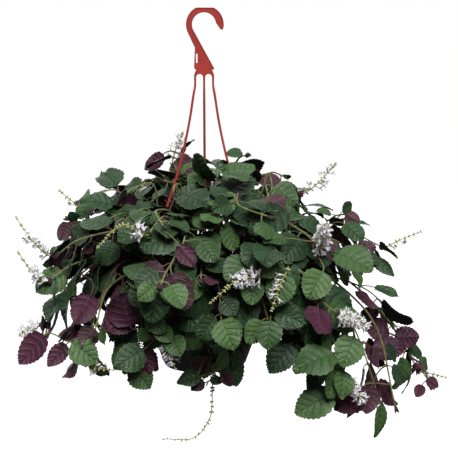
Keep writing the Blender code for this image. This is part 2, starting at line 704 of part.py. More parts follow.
class Shoot:
    """A leafy shoot: its stem's route, its leaves by node, and its flower spike."""

    def __init__(self, name, route, pairs, way):
        self.name = name
        self.route = route
        self.pairs = pairs
        self.way = way
        self.spike = None
        self.nodes = [(distance, []) for distance in self.node_distances()]

    def node_distances(self):
        """Where the leaf pairs stand, from the tip inwards with longer and longer internodes."""
        distance, gap, places = self.route.length - 9 * MM, 0.026, []
        for _ in range(self.pairs):
            places.append(distance)
            distance -= gap
            gap *= 1.16
        return places[::-1]


def lay_out():
    """All shoots with their spikes and leaves, none crossing another. The draws come from one seed."""
    rng = random.Random(LAYOUT_SEED)
    obstacles = Obstacles()
    obstacles.add(*pot_keep_out())
    for name in LUG_ANGLES:
        route = strand_route(name)
        obstacles.add(*tube_mesh(route, 0.0, route.length, lambda d: 3.6 * MM, 0.02))
    obstacles.add(*sight_keep_out())
    shoots = []
    for name, site, via, pairs, way in seat_roots(planned_shoots(rng)):
        route = place_stem(rng, obstacles, site, via)
        if route is None:
            continue
        radius_at = shoot_radius(route.length)
        tube = tube_mesh(route, 0.0, route.length, lambda d: radius_at(d) + 0.4 * MM, 0.012)
        obstacles.add(*tube, name)
        shoots.append(Shoot(name, route, pairs, way))
    for row in SHOWN_LEAVES:
        place_shown_leaf(rng, obstacles, shoots, row)
    for shoot in shoots:
        if shoot.way:
            shoot.spike = place_spike(rng, obstacles, shoot.route, shoot.way)
            if shoot.spike:
                envelope = tube_mesh(shoot.spike, 5 * MM, shoot.spike.length, lambda d: SPIKE_KEEP_OUT, 0.012)
                obstacles.add(*envelope)
    for rank in range(1, 1 + max(shoot.pairs for shoot in shoots)):
        for number, shoot in enumerate(shoots):
            if rank > shoot.pairs:
                continue
            index = shoot.pairs - rank
            leaves = shoot.nodes[index][1]
            length = LEAF_LENGTH * {1: 0.70, 2: 0.92}.get(rank, 1.0)
            flip = 0.55 if shoot.name in PURPLE_SHOOTS else 0.10
            for turn in pair_turns(index, number % 2 == 1)[len(leaves):]:
                leaf = place_leaf(rng, obstacles, shoot, index, turn, length, flip)
                if leaf:
                    leaves.append(leaf)
    return shoots


def material(name, finish):
    """A plain material with a colour and a roughness."""
    colour, roughness = finish
    made = bpy.data.materials.new(name)
    made.use_nodes = True
    shader = made.node_tree.nodes["Principled BSDF"]
    shader.inputs["Base Color"].default_value = (*colour, 1.0)
    shader.inputs["Roughness"].default_value = roughness
    shader.inputs["Metallic"].default_value = 0.0
    return made


def add_object(name, bm, finish):
    """Turns a bmesh into a named object with its own material."""
    bmesh.ops.recalc_face_normals(bm, faces=bm.faces[:])
    mesh = bpy.data.meshes.new(name)
    bm.to_mesh(mesh)
    bm.free()
    mesh.materials.append(material(name, finish))
    made = bpy.data.objects.new(name, mesh)
    bpy.context.scene.collection.objects.link(made)
    return made


def cut(target, cutters):
    """Cuts the cutters' shapes out of the target and removes them."""
    for cutter in cutters:
        tool = target.modifiers.new("cut", "BOOLEAN")
        tool.operation = "DIFFERENCE"
        tool.object = cutter
        tool.solver = "EXACT"
    bpy.context.view_layer.update()
    graph = bpy.context.evaluated_depsgraph_get()
    result = bpy.data.meshes.new_from_object(target.evaluated_get(graph))
    target.modifiers.clear()
    target.data = result
    for cutter in cutters:
        bpy.data.objects.remove(cutter)


def smooth(target):
    """Shades the target smooth, apart from its sharp edges."""
    target.data.shade_smooth()
    target.data.set_sharp_from_angle(angle=math.radians(SHARP_ANGLE))


def spun(name, profile, sides, finish):
    """A solid turned about Z from a profile of (radius, height) points that starts and ends on the axis."""
    bm = bmesh.new()
    line = [bm.verts.new((radius, 0.0, z)) for radius, z in profile]
    edges = [bm.edges.new(pair) for pair in zip(line, line[1:])]
    bmesh.ops.spin(bm, geom=line + edges, cent=(0, 0, 0), axis=(0, 0, 1), angle=2 * math.pi,
                   steps=sides, use_merge=True)
    bmesh.ops.remove_doubles(bm, verts=bm.verts[:], dist=0.01 * MM)
    return add_object(name, bm, finish)


def box_cutter(centre, size, degrees):
    """A box turned about Z, used only to cut."""
    bm = bmesh.new()
    bmesh.ops.create_cube(bm, size=1.0)
    bmesh.ops.scale(bm, verts=bm.verts[:], vec=size)
    mesh = bpy.data.meshes.new("cutter")
    bm.to_mesh(mesh)
    bm.free()
    made = bpy.data.objects.new("cutter", mesh)
    made.location = centre
    made.rotation_euler = (0.0, 0.0, math.radians(degrees))
    bpy.context.scene.collection.objects.link(made)
    return made


def build_pot():
    """The bowl with its foot, rim band, flange with three strand slots, and drain holes."""
    outer = bowl_profile()
    profile = [
        (0.0, POT_BASE_Z + FOOT_HEIGHT),
        (BASE_RADIUS - 6 * MM, POT_BASE_Z + FOOT_HEIGHT),
        (BASE_RADIUS - 4 * MM, POT_BASE_Z),
        (BASE_RADIUS, POT_BASE_Z),
        *outer,
        (RIM_BAND_RADIUS, RIM_Z - RIM_BAND_HEIGHT + 2 * MM),
        (RIM_BAND_RADIUS, RIM_Z - FLANGE_THICKNESS),
        (FLANGE_RADIUS, RIM_Z - FLANGE_THICKNESS),
        (FLANGE_RADIUS, RIM_Z - 0.6 * MM),
        (FLANGE_RADIUS - 0.6 * MM, RIM_Z),
        (RIM_BAND_RADIUS - WALL, RIM_Z),
        (RIM_BAND_RADIUS - WALL, RIM_Z - RIM_BAND_HEIGHT + 3 * MM),
        *[(radius - WALL, z) for radius, z in reversed(outer)],
        (BASE_RADIUS - 2 * MM, POT_BASE_Z + FOOT_HEIGHT + WALL),
        (0.0, POT_BASE_Z + FOOT_HEIGHT + WALL),
    ]
    pot = spun("pot", profile, POT_SIDES, CHARCOAL)
    slots = [
        box_cutter(polar(LUG_RADIUS, angle, RIM_Z), (SLOT_DEPTH, SLOT_WIDTH, 4 * FLANGE_THICKNESS), angle)
        for angle in LUG_ANGLES.values()
    ]
    drains = []
    for k in range(DRAIN_HOLES):
        centre = polar(DRAIN_CIRCLE, 360 * k / DRAIN_HOLES, POT_BASE_Z + FOOT_HEIGHT + WALL / 2)
        bm = bmesh.new()
        bmesh.ops.create_cone(bm, cap_ends=True, segments=8, radius1=DRAIN_RADIUS, radius2=DRAIN_RADIUS,
                              depth=4 * WALL)
        mesh = bpy.data.meshes.new("cutter")
        bm.to_mesh(mesh)
        bm.free()
        drain = bpy.data.objects.new("cutter", mesh)
        drain.location = centre
        bpy.context.scene.collection.objects.link(drain)
        drains.append(drain)
    cut(pot, slots + drains)
    smooth(pot)


def build_soil(shoots):
    """Soil that fills the pot, with a slightly heaped top and a plain hole for each shoot."""
    inner = [(radius - WALL - GAP, z) for radius, z in bowl_profile()]
    top_radius = RIM_BAND_RADIUS - WALL - GAP
    profile = [
        (0.0, POT_BASE_Z + FOOT_HEIGHT + WALL + GAP),
        (BASE_RADIUS - 2 * MM - GAP, POT_BASE_Z + FOOT_HEIGHT + WALL + GAP),
        *inner[:-1],
        (inner[-1][0], inner[-1][1]),
        (top_radius - 3 * MM, SOIL_TOP - 2 * MM),
        (0.0, SOIL_TOP),
    ]
    soil = spun("soil", profile, POT_SIDES, SOIL_BROWN)
    holes = []
    for shoot in shoots:
        position, _, side, _ = shoot.route.frame(0.0)
        width = 2 * SHOOT_RADIUS * math.sqrt(0.5) + 2 * GAP
        depth = 2 * ROOT_DEPTH + 2 * GAP
        angle = math.degrees(math.atan2(side.y, side.x))
        holes.append(box_cutter(position + UP * (depth / 2 - GAP), (width, width, depth), angle))
    cut(soil, holes)
    smooth(soil)


def hook_outline():
    """The hook and its head as one flat outline in X and Z, clockwise from the crown's flat top."""
    def arc(radius, first, last, steps, offset=0.0):
        angles = [math.radians(first + (last - first) * i / steps) for i in range(steps + 1)]
        return [(offset + radius * math.cos(a), radius * math.sin(a) - HOOK_INNER_RADIUS) for a in angles]

    flat = math.degrees(math.asin((CROWN_THICKNESS + HOOK_INNER_RADIUS) / HOOK_OUTER_RADIUS))
    outer_right = arc(HOOK_OUTER_RADIUS, flat, -8, 7, HOOK_OFFSET)
    tip = [(0.0320, -0.0270), (0.0300, -0.0288), (0.0268, -0.0272)]
    # The middle one of the eleven facets lies level at the origin.
    half_facet = (INNER_ARC_END - INNER_ARC_START) / INNER_ARC_STEPS / 2
    inner_corners = HOOK_INNER_RADIUS / math.cos(math.radians(half_facet))
    inner = arc(inner_corners, INNER_ARC_START, INNER_ARC_END, INNER_ARC_STEPS)
    # The neck widens down to two pointed shoulders over the three legs.
    right_neck = [
        (0.0172, SHOULDER_Z + 1 * MM),
        (0.0150, SHOULDER_Z - 1.5 * MM),
        (0.0128, SHOULDER_Z - 0.5 * MM),
    ]
    right_arm = [(0.0148, SHOULDER_Z - 4 * MM), (LEG_OFFSET + LEG_WIDTH / 2, SHOULDER_Z - 10 * MM)]
    right_leg = [(LEG_OFFSET + LEG_WIDTH / 2, HEAD_BOTTOM_Z), (LEG_OFFSET - LEG_WIDTH / 2, HEAD_BOTTOM_Z)]
    arch_radius = (LEG_OFFSET - LEG_WIDTH) / 2

    def arch(middle):
        angles = [math.radians(180 * i / 6) for i in range(7)]
        top = SHOULDER_Z - 8 * MM - arch_radius
        return [(middle + arch_radius * math.cos(a), top + arch_radius * math.sin(a)) for a in angles]

    middle_leg = [(LEG_WIDTH / 2, HEAD_BOTTOM_Z), (-LEG_WIDTH / 2, HEAD_BOTTOM_Z)]
    left_leg = [(-LEG_OFFSET + LEG_WIDTH / 2, HEAD_BOTTOM_Z), (-LEG_OFFSET - LEG_WIDTH / 2, HEAD_BOTTOM_Z)]
    left_arm = [(-LEG_OFFSET - LEG_WIDTH / 2, SHOULDER_Z - 10 * MM), (-0.0148, SHOULDER_Z - 4 * MM)]
    left_neck = [
        (-0.0128, SHOULDER_Z - 0.5 * MM),
        (-0.0150, SHOULDER_Z - 1 * MM),
        (-0.0168, SHOULDER_Z + 3 * MM),
        (-0.0152, -0.0585),
    ]
    outer_left = arc(HOOK_OUTER_RADIUS, 205, 180 - flat, 9, HOOK_OFFSET)
    right_side = outer_right + tip + inner + right_neck + right_arm + right_leg
    return right_side + arch(LEG_OFFSET / 2) + middle_leg + arch(-LEG_OFFSET / 2) + left_leg + left_arm + \
        left_neck + outer_left


def build_hook():
    """The flat moulded hook, its shoulders with a narrow slot, and the stubs of three legs."""
    bm = bmesh.new()
    rim = [bm.verts.new((x, -PLATE / 2, z)) for x, z in hook_outline()]
    face = bm.faces.new(rim)
    pushed = bmesh.ops.extrude_face_region(bm, geom=[face])
    moved = [item for item in pushed["geom"] if isinstance(item, bmesh.types.BMVert)]
    bmesh.ops.translate(bm, verts=moved, vec=(0, PLATE, 0))
    hook = add_object("hanger_hook", bm, BRICK)
    slot = box_cutter((-0.0118, 0.0, -0.0790), (2.0 * MM, 3 * PLATE, 17 * MM), 0.0)
    slot.rotation_euler = (0.0, math.radians(-3), 0.0)
    cut(hook, [slot])
    smooth(hook)


def rectangle(centre, across, outward, width, depth):
    """The four corners of a rectangle round a centre."""
    return [centre + across * (a * width / 2) + outward * (b * depth / 2) for a, b in CORNERS]


def build_strand(name):
    """One strand, a flat strip down to the rim, through its slot and barbed below it."""
    route = strand_route(name)
    slot = polar(LUG_RADIUS, LUG_ANGLES[name], RIM_Z)
    tangential = Vector((slot.y, -slot.x, 0.0)).normalized()
    distances = [route.length * i / STRAND_STEPS for i in range(STRAND_STEPS)]
    distances += [route.length - FLANGE_THICKNESS - 5 * MM, route.length]
    sections = []
    for distance in distances:
        # The strand leaves the head as thick and as flat as the head, and turns to lie round the rim.
        position, tangent, side, _ = route.frame(distance)
        turned = min(1.0, distance / STRAND_TURN)
        head_side = Vector((math.copysign(1.0, side.x), 0.0, 0.0))
        across = head_side.lerp(side, turned)
        across = (across - tangent * across.dot(tangent)).normalized()
        width = LEG_WIDTH + (STRAND_WIDTH - LEG_WIDTH) * turned
        depth = PLATE + (STRAND_DEPTH - PLATE) * turned
        sections.append(rectangle(position, across, across.cross(tangent), width, depth))
    end = Vector((slot.x, slot.y, route.points[-1].z - GAP))
    across = tangential if (sections[-1][0] - sections[-1][2]).dot(tangential) > 0 else -tangential
    outward = across.cross(-UP)
    sections += [
        rectangle(end, across, outward, STRAND_WIDTH, STRAND_DEPTH),
        rectangle(end, across, outward, BARB_WIDTH, BARB_DEPTH),
        rectangle(end - UP * BARB_HEIGHT, across, outward, BARB_WIDTH, BARB_DEPTH),
        rectangle(end - UP * 2 * BARB_HEIGHT, across, outward, BARB_TIP_WIDTH, BARB_TIP_DEPTH),
    ]
    bm = bmesh.new()
    rings = [[bm.verts.new(p) for p in section] for section in sections]
    for ring, following in zip(rings, rings[1:]):
        for k in range(4):
            bm.faces.new((ring[k], ring[(k + 1) % 4], following[(k + 1) % 4], following[k]))
    bm.faces.new(rings[0][::-1])
    bm.faces.new(rings[-1])
    smooth(add_object("hanger_strand_" + name, bm, BRICK))


def add_leaf(bm, leaf, socket):
    """Grows a petiole from the four corners of a stem's face, and the blade from its end."""
    points, faces = leaf.blade()
    verts = [bm.verts.new(p) for p in points]
    order = matched([v.co for v in socket], [v.co for v in verts[:4]])
    turned = [min(verts[:4], key=lambda v: (v.co - p).length) for p in order]
    for k in range(4):
        bm.faces.new((socket[k], socket[(k + 1) % 4], turned[(k + 1) % 4], turned[k]))
    for face in faces:
        bm.faces.new([verts[i] for i in face])


def build_shoot(shoot):
    """A square stem with petioles and blades grown from its faces at each node."""
    bm = bmesh.new()
    radius_at = shoot_radius(shoot.route.length)
    rings, sockets = [], {}
    marks = [0.0, ROOT_DEPTH + 5 * MM]
    first = shoot.nodes[0][0]
    steps = max(2, round((first - marks[-1]) / RING_SPACING))
    marks += [marks[-1] + (first - NODE_HALF - marks[-1]) * i / steps for i in range(1, steps)]
    for distance, leaves in shoot.nodes:
        if leaves:
            sockets[len(marks)] = {leaf.face: leaf for leaf in leaves}
            marks += [distance - NODE_HALF, distance + NODE_HALF]
        else:
            marks.append(distance)
    marks.append(shoot.route.length)
    for distance in marks:
        position, _, side, upper = shoot.route.frame(distance)
        rings.append([bm.verts.new(p) for p in ring_of(position, side, upper, radius_at(distance))])
    for i, (ring, following) in enumerate(zip(rings, rings[1:])):
        for k in range(4):
            # Corner k is the lower one of face k, as the corners run round from below the side face.
            corners = (ring[k], ring[(k + 1) % 4], following[(k + 1) % 4], following[k])
            leaf = sockets.get(i, {}).get(k)
            if leaf:
                add_leaf(bm, leaf, corners)
            else:
                bm.faces.new(corners)
    bm.faces.new(rings[0][::-1])
    bm.faces.new(rings[-1])
    bmesh.ops.triangulate(bm, faces=bm.faces[:])
    add_object("shoot_" + shoot.name, bm, LEAF_GREEN)


def corner_signs(corners, centre, sideways, tangent):
    """Signs of each corner's place across and along the stalk, so that a wider ring matches it."""
    signs = []
    for v in corners:
        offset = v.co - centre
        signs.append((1 if offset.dot(sideways) > 0 else -1, 1 if offset.dot(tangent) > 0 else -1))
    return signs


def add_floret(bm, corners, out, tangent, scale):
    """Grows a flared floret that ends in a point from four corners of the stalk's face."""
    centre = sum((v.co for v in corners), Vector()) / 4
    sideways = tangent.cross(out)
    mouth_centre = centre + out * FLORET_LENGTH * scale * FLORET_MOUTH
    radius = FLORET_RADIUS * scale
    mouth = [
        bm.verts.new(mouth_centre + sideways * (a * radius) + tangent * (b * radius))
        for a, b in corner_signs(corners, centre, sideways, tangent)
    ]
    crest = bm.verts.new(centre + out * FLORET_LENGTH * scale)
    for k in range(4):
        following = (k + 1) % 4
        bm.faces.new((corners[k], corners[following], mouth[following], mouth[k]))
        bm.faces.new((mouth[k], mouth[following], crest))


def whorl_places(length):
    """Where the pairs of florets stand along a spike."""
    count = max(3, min(6, round(0.62 * length / WHORL_SPACING)))
    return [length * (0.36 + 0.57 * i / (count - 1)) for i in range(count)]


def build_spike(shoot):
    """A flower spike: a thin stalk with pairs of flared florets, each pair a quarter turn from the last."""
    bm = bmesh.new()
    route = shoot.spike
    marks = [0.0, 0.25 * route.length]
    places = whorl_places(route.length)
    whorls = {}
    for i, place in enumerate(places):
        whorls[len(marks)] = i
        marks += [place - FLORET_FOOT, place + FLORET_FOOT]
    marks.append(route.length)
    rings = []
    for distance in marks:
        position, _, side, upper = route.frame(distance)
        radius = TIP_RADIUS + (RACHIS_TIP_RADIUS - TIP_RADIUS) * distance / route.length
        rings.append([bm.verts.new(p) for p in ring_of(position, side, upper, radius)])
    for i, (ring, following) in enumerate(zip(rings, rings[1:])):
        _, tangent, side, upper = route.frame(marks[i])
        for k, out in enumerate((side, upper, -side, -upper)):
            corners = [ring[k], ring[(k + 1) % 4], following[(k + 1) % 4], following[k]]
            whorl = whorls.get(i)
            if whorl is None or k % 2 != whorl % 2:
                bm.faces.new(corners)
            else:
                add_floret(bm, corners, out, tangent, 1 - 0.5 * whorl / len(places))
    bm.faces.new(rings[0][::-1])
    bm.faces.new(rings[-1])
    bmesh.ops.triangulate(bm, faces=bm.faces[:])
    add_object("spike_" + shoot.name, bm, FLOWER_WHITE)


def main():
    for old in list(bpy.data.objects):
        bpy.data.objects.remove(old)
    shoots = lay_out()
    build_pot()
    build_soil(shoots)
    build_hook()
    for name in LUG_ANGLES:
        build_strand(name)
    for shoot in shoots:
        build_shoot(shoot)
        if shoot.spike:
            build_spike(shoot)


main()
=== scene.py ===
"""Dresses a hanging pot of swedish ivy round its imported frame: fine leaves, stems and flower spikes on the
same layout as the solids, more shoots that fill the plant, the moulded hanger, the pot and its soil.
"""

import dataclasses
import functools
import math
import random

import bmesh
import bpy
from mathutils import Matrix, Vector, noise
from mathutils.bvhtree import BVHTree


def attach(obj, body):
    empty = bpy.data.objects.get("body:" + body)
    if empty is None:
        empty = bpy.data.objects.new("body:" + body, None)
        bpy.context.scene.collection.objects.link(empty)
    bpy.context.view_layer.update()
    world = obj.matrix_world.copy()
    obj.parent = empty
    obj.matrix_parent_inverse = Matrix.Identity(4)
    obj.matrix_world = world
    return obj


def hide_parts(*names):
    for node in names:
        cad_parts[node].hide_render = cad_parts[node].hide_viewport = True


bl_info = {
    "name": "Swedish Ivy Hanging Pot",
    "version": (1, 0, 0),
    "blender": (4, 5, 0),
    "location": "View3D > Sidebar > Swedish Ivy",
    "description": "Models and finishes a hanging pot of swedish ivy round its packed frame",
    "category": "Object",
}

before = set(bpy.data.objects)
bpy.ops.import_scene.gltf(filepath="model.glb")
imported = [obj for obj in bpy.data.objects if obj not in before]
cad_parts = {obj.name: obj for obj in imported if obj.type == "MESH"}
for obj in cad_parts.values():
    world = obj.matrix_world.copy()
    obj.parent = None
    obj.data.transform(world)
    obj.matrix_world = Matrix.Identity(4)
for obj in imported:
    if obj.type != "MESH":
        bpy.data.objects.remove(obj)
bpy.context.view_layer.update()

# The layout of the plant, the same as in the solids, so that every random draw agrees with theirs
MM = 0.001
GAP = 0.3 * MM
UP = Vector((0.0, 0.0, 1.0))

# Pot
RIM_Z = -0.430
POT_HEIGHT = 0.168
POT_BASE_Z = RIM_Z - POT_HEIGHT
RIM_BAND_RADIUS = 0.119
FLANGE_RADIUS = 0.1275
FLANGE_THICKNESS = 3.2 * MM
RIM_BAND_HEIGHT = 0.019
BOWL_TOP_RADIUS = 0.1155
BASE_RADIUS = 0.068
FOOT_HEIGHT = 3.0 * MM
WALL = 2.0 * MM
BOWL_STEPS = 2
BOWL_RINGS = 12
DRAIN_HOLES = 5
DRAIN_RADIUS = 4.5 * MM
DRAIN_CIRCLE = 0.036

# Soil
SOIL_TOP = RIM_Z - 0.016
ROOT_DEPTH = 0.012

# Hook and strands
HOOK_INNER_RADIUS = 0.020
HOOK_OUTER_RADIUS = 0.0315
HOOK_OFFSET = 1.5 * MM
CROWN_THICKNESS = 8.0 * MM
INNER_ARC_START = 9.0
INNER_ARC_END = 207.0
PLATE = 4.4 * MM
SHOULDER_Z = -0.094
HEAD_BOTTOM_Z = -0.112
LEG_OFFSET = 15.0 * MM
LEG_WIDTH = 3.6 * MM
STRAND_WIDTH = 3.4 * MM
STRAND_DEPTH = 2.6 * MM
STRAND_BOW = 0.65
LUG_RADIUS = 0.1232
LUG_ANGLES = {"left": -150.0, "right": -30.0, "back": 90.0}
SLOT_WIDTH = 6.4 * MM
SLOT_DEPTH = 3.8 * MM
BARB_WIDTH = 9.0 * MM
BARB_DEPTH = 3.2 * MM
BARB_HEIGHT = 3.0 * MM
BARB_TIP_WIDTH = 3.0 * MM
BARB_TIP_DEPTH = 1.6 * MM
STRAND_TURN = 0.040
CORNERS = ((1, -1), (1, 1), (-1, 1), (-1, -1))

# Shoots
SHOOT_RADIUS = 2.3 * MM
TIP_RADIUS = 1.25 * MM
NODE_HALF = 2.0 * MM
TUBE_STEP = 0.012
PETIOLE_RADIUS = 1.2 * MM
LEAF_WIDTH_RATIO = 0.86
LEAF_LENGTH = 0.064
BLADE_HALF_THICKNESS = 1.0 * MM
LEAF_TRIES = 22
LEAF_CLEARANCE = 1.6 * MM
LEAF_TILT = 16.0
BLADE_MARGIN = 1.04
LAYOUT_SEED = 203
STEM_TRIES = 80
SHOWN_TRIES = 16
ARCH_LOW_Z = -0.404
MOUND_CENTRE_Z = -0.475
MOUND_RADIUS = 0.30
MOUND_HEIGHT = 0.21

# Flower spikes
SPIKE_KEEP_OUT = 9.0 * MM

# The blade's outline down one side: place along the midrib, and how far a tooth or a notch reaches
OUTLINE = ((0.06, 1.0), (0.28, 1.04), (0.45, 0.91), (0.61, 1.06), (0.81, 1.02))
YOUNG_OUTLINE = ((0.10, 1.0), (0.42, 0.97), (0.72, 1.08))
YOUNG_LENGTH = 0.048
MIDRIB_STATION = 0.45


# The shoots that show one by one: the stem's tip, leaf pairs, and the flower spike's way on from the tip.
SHOWN_SHOOTS = (
    ("crown_left", (-0.049, 0.020, -0.258), 4, ((0.004, 0.0, 0.028), (0.016, 0.0, 0.056))),
    ("upper_right", (0.163, 0.020, -0.303), 4, ((0.028, 0.0, 0.018), (0.056, 0.0, 0.050))),
    ("upper_left", (-0.207, 0.000, -0.319), 4, ((-0.018, 0.0, 0.008), (-0.034, 0.0, 0.022))),
    ("left_high", (-0.250, -0.050, -0.400), 5, ((-0.030, -0.005, 0.024), (-0.057, -0.010, 0.066))),
    ("left_mid", (-0.252, -0.100, -0.432), 5, ((-0.026, -0.010, 0.018), (-0.046, -0.020, 0.050))),
    ("left_far", (-0.262, -0.100, -0.505), 4, ((-0.018, -0.010, -0.002), (-0.034, -0.020, -0.010))),
    ("left_low", (-0.191, -0.150, -0.556), 4, ((0.024, -0.010, -0.008), (0.048, -0.020, -0.008))),
    ("left_arch", (-0.083, -0.180, -0.345), 4, ((-0.040, -0.020, 0.018), (-0.076, -0.040, -0.014))),
    ("front_left", (-0.052, -0.190, -0.512), 4, ((0.006, -0.005, -0.020), (0.016, -0.010, -0.042))),
    ("front_low", (0.009, -0.145, -0.545), 3,
     ((0.0, 0.0, -0.045), (-0.004, 0.0, -0.095), (-0.030, 0.0, -0.128), (-0.080, 0.0, -0.130))),
    ("front_arch", (0.092, -0.236, -0.400), 4, ((-0.036, -0.016, -0.004), (-0.080, -0.026, -0.038))),
    ("front_pair", (0.130, -0.240, -0.385), 3, ((-0.010, -0.012, -0.030), (-0.020, -0.014, -0.062))),
    ("right_cluster", (0.182, -0.165, -0.366), 4, ((0.004, -0.020, 0.020), (0.006, -0.036, 0.034))),
    ("right_bud", (0.225, -0.115, -0.400), 4, ((0.016, -0.008, 0.010), (0.030, -0.014, 0.034))),
    ("right_mid", (0.208, -0.200, -0.464), 4, ((0.020, -0.010, -0.004), (0.042, -0.014, -0.016))),
    ("right_far", (0.299, 0.000, -0.393), 4, ((0.030, 0.0, 0.012), (0.064, 0.0, 0.026))),
    ("right_front", (0.225, -0.200, -0.566), 4, ((0.012, 0.0, -0.020), (0.028, 0.0, -0.040))),
    ("long_right", (0.356, -0.080, -0.587), 4, ((0.020, 0.0, -0.006), (0.044, 0.0, -0.012))),
    ("right_hanging", (0.290, -0.120, -0.632), 5, ()),
    ("right_purple", (0.325, -0.080, -0.525), 4, ()),
    ("right_low", (0.190, -0.190, -0.585), 4, ()),
    ("front_drop", (0.030, -0.225, -0.475), 3, ()),
    ("front_drop_right", (0.102, -0.228, -0.480), 3, ()),
    ("left_curl", (-0.105, -0.170, -0.535), 4, ()),
    ("front_upper_left", (-0.030, -0.200, -0.360), 4, ()),
    ("front_upper", (0.035, -0.165, -0.322), 4, ()),
)
# The rings of shoots that fill the crown and the back: how many, the first and last direction in degrees,
# the tips' radius and height, and the leaf pairs.
FILLING_SHOOTS = (
    ("crown", 2, (-70.0, 60.0), 0.095, -0.268, 4),
    ("back_upper", 3, (45.0, 140.0), 0.195, -0.335, 4),
    ("back_middle", 3, (20.0, 165.0), 0.255, -0.430, 4),
    ("back_low", 2, (60.0, 118.0), 0.225, -0.545, 4),
)
# The leaves that stand out, placed one by one: the blade's base and tip in mm, which way its upper side
# looks, and its width over its length.
SHOWN_LEAVES = (
    ((30, -245, -470), (50, -260, -515), "out", 0.88),
    ((105, -250, -470), (100, -260, -515), "out", 0.85),
    ((140, -190, -520), (105, -205, -565), "out", 0.75),
    ((205, -235, -525), (140, -255, -550), "up", 0.8),
    ((235, -215, -505), (215, -235, -550), "out", 0.85),
    ((205, -215, -595), (145, -225, -625), "out", 0.72),
    ((290, -130, -635), (280, -135, -690), "side", 0.7),
    ((290, -135, -600), (220, -160, -625), "under", 0.72),
    ((315, -90, -530), (355, -100, -530), "under", 0.85),
    ((305, -85, -525), (265, -100, -510), "under", 0.8),
    ((275, -100, -550), (330, -110, -550), "under", 0.7),
    ((280, -20, -410), (320, -30, -440), "up", 0.55),
    ((285, -50, -455), (325, -60, -470), "up", 0.5),
    ((215, -130, -385), (270, -160, -410), "up", 0.85),
    ((190, -190, -405), (165, -210, -445), "out", 0.9),
    ((135, -130, -315), (75, -170, -345), "out", 0.62),
    ((130, -200, -350), (95, -215, -355), "up", 0.65),
    ((-35, -130, -290), (10, -170, -305), "up", 0.8),
    ((20, -140, -290), (45, -170, -315), "up", 1.0),
    ((0, -210, -355), (20, -225, -385), "up", 1.0),
    ((-45, -230, -400), (-20, -245, -455), "under", 0.72),
    ((-10, -225, -400), (15, -235, -425), "under", 0.8),
    ((-35, -215, -360), (-10, -230, -390), "under", 0.7),
    ((-115, -180, -495), (-130, -200, -435), "under", 0.9),
    ((-70, -200, -420), (-80, -225, -480), "out", 0.78),
    ((-230, -80, -425), (-275, -100, -455), "out", 0.8),
    ((-270, -100, -520), (-300, -120, -565), "under", 0.62),
    ((-95, -170, -535), (-140, -190, -560), "out", 0.8),
    ((-55, 0, -240), (-100, -10, -260), "high", 0.6),
    ((-150, -50, -315), (-205, -60, -310), "up", 0.6),
    ((-185, -120, -515), (-235, -140, -520), "under", 0.5),
    ((-210, -150, -530), (-165, -165, -555), "up", 0.6),
    ((-220, -150, -530), (-250, -160, -565), "under", 0.6),
    ((-180, -140, -450), (-205, -160, -495), "under", 0.75),
    ((35, -235, -440), (50, -245, -465), "out", 1.0),
    ((115, -225, -460), (160, -235, -480), "out", 0.75),
    ((130, -240, -400), (110, -250, -450), "out", 0.8),
    ((35, -140, -545), (55, -150, -600), "out", 0.7),
)
FACINGS = {
    "out": (0.0, -0.92, 0.38),
    "up": (0.0, -0.55, 0.83),
    "side": (0.8, -0.6, 0.1),
    "high": (-0.2, 0.2, 0.95),
    "under": (0.1, 0.92, -0.28),
}
SHOWN_DROOP = 0.45
SHOWN_REACH = 0.072
PURPLE_SHOOTS = ("right_hanging", "right_purple", "left_curl", "left_far", "left_low")


def rotated(vector, axis, degrees):
    """The vector turned about an axis."""
    angle = math.radians(degrees)
    axis = axis.normalized()
    along = axis * vector.dot(axis)
    across = vector - along
    return along + across * math.cos(angle) + axis.cross(across) * math.sin(angle)


def jitter(rng, reach):
    """A random offset of up to reach in each direction."""
    return Vector([rng.uniform(-reach, reach) for _ in range(3)])


def turned(side, upper, turn):
    """The direction at a share of a full turn from side towards upper."""
    angle = 2 * math.pi * turn
    return side * math.cos(angle) + upper * math.sin(angle)


def polar(radius, degrees, z):
    """A point at a radius and direction from the pot's axis."""
    angle = math.radians(degrees)
    return Vector((radius * math.cos(angle), radius * math.sin(angle), z))


def smooth_route(points, spacing):
    """Points at an even spacing along a smooth curve through the given ones."""
    ends = [points[0] * 2 - points[1], *points, points[-1] * 2 - points[-2]]
    fine = []
    for before, a, b, after in zip(ends, ends[1:], ends[2:], ends[3:]):
        spans = [math.sqrt((q - p).length) for p, q in ((before, a), (a, b), (b, after))]
        leave = (a - before) / spans[0] - (b - before) / (spans[0] + spans[1]) + (b - a) / spans[1]
        arrive = (b - a) / spans[1] - (after - a) / (spans[1] + spans[2]) + (after - b) / spans[2]
        for step in range(16):
            t = step / 16
            blend = t * t * (3 - 2 * t)
            bend = leave * (t * (1 - t) ** 2) - arrive * (t * t * (1 - t))
            fine.append(a.lerp(b, blend) + bend * spans[1])
    fine.append(points[-1].copy())
    lengths = [0.0]
    for a, b in zip(fine, fine[1:]):
        lengths.append(lengths[-1] + (b - a).length)
    count = max(2, round(lengths[-1] / spacing))
    even, place = [], 0
    for i in range(count + 1):
        want = lengths[-1] * i / count
        while place < len(fine) - 2 and lengths[place + 1] < want:
            place += 1
        share = (want - lengths[place]) / max(1e-9, lengths[place + 1] - lengths[place])
        even.append(fine[place].lerp(fine[place + 1], min(1.0, share)))
    return even


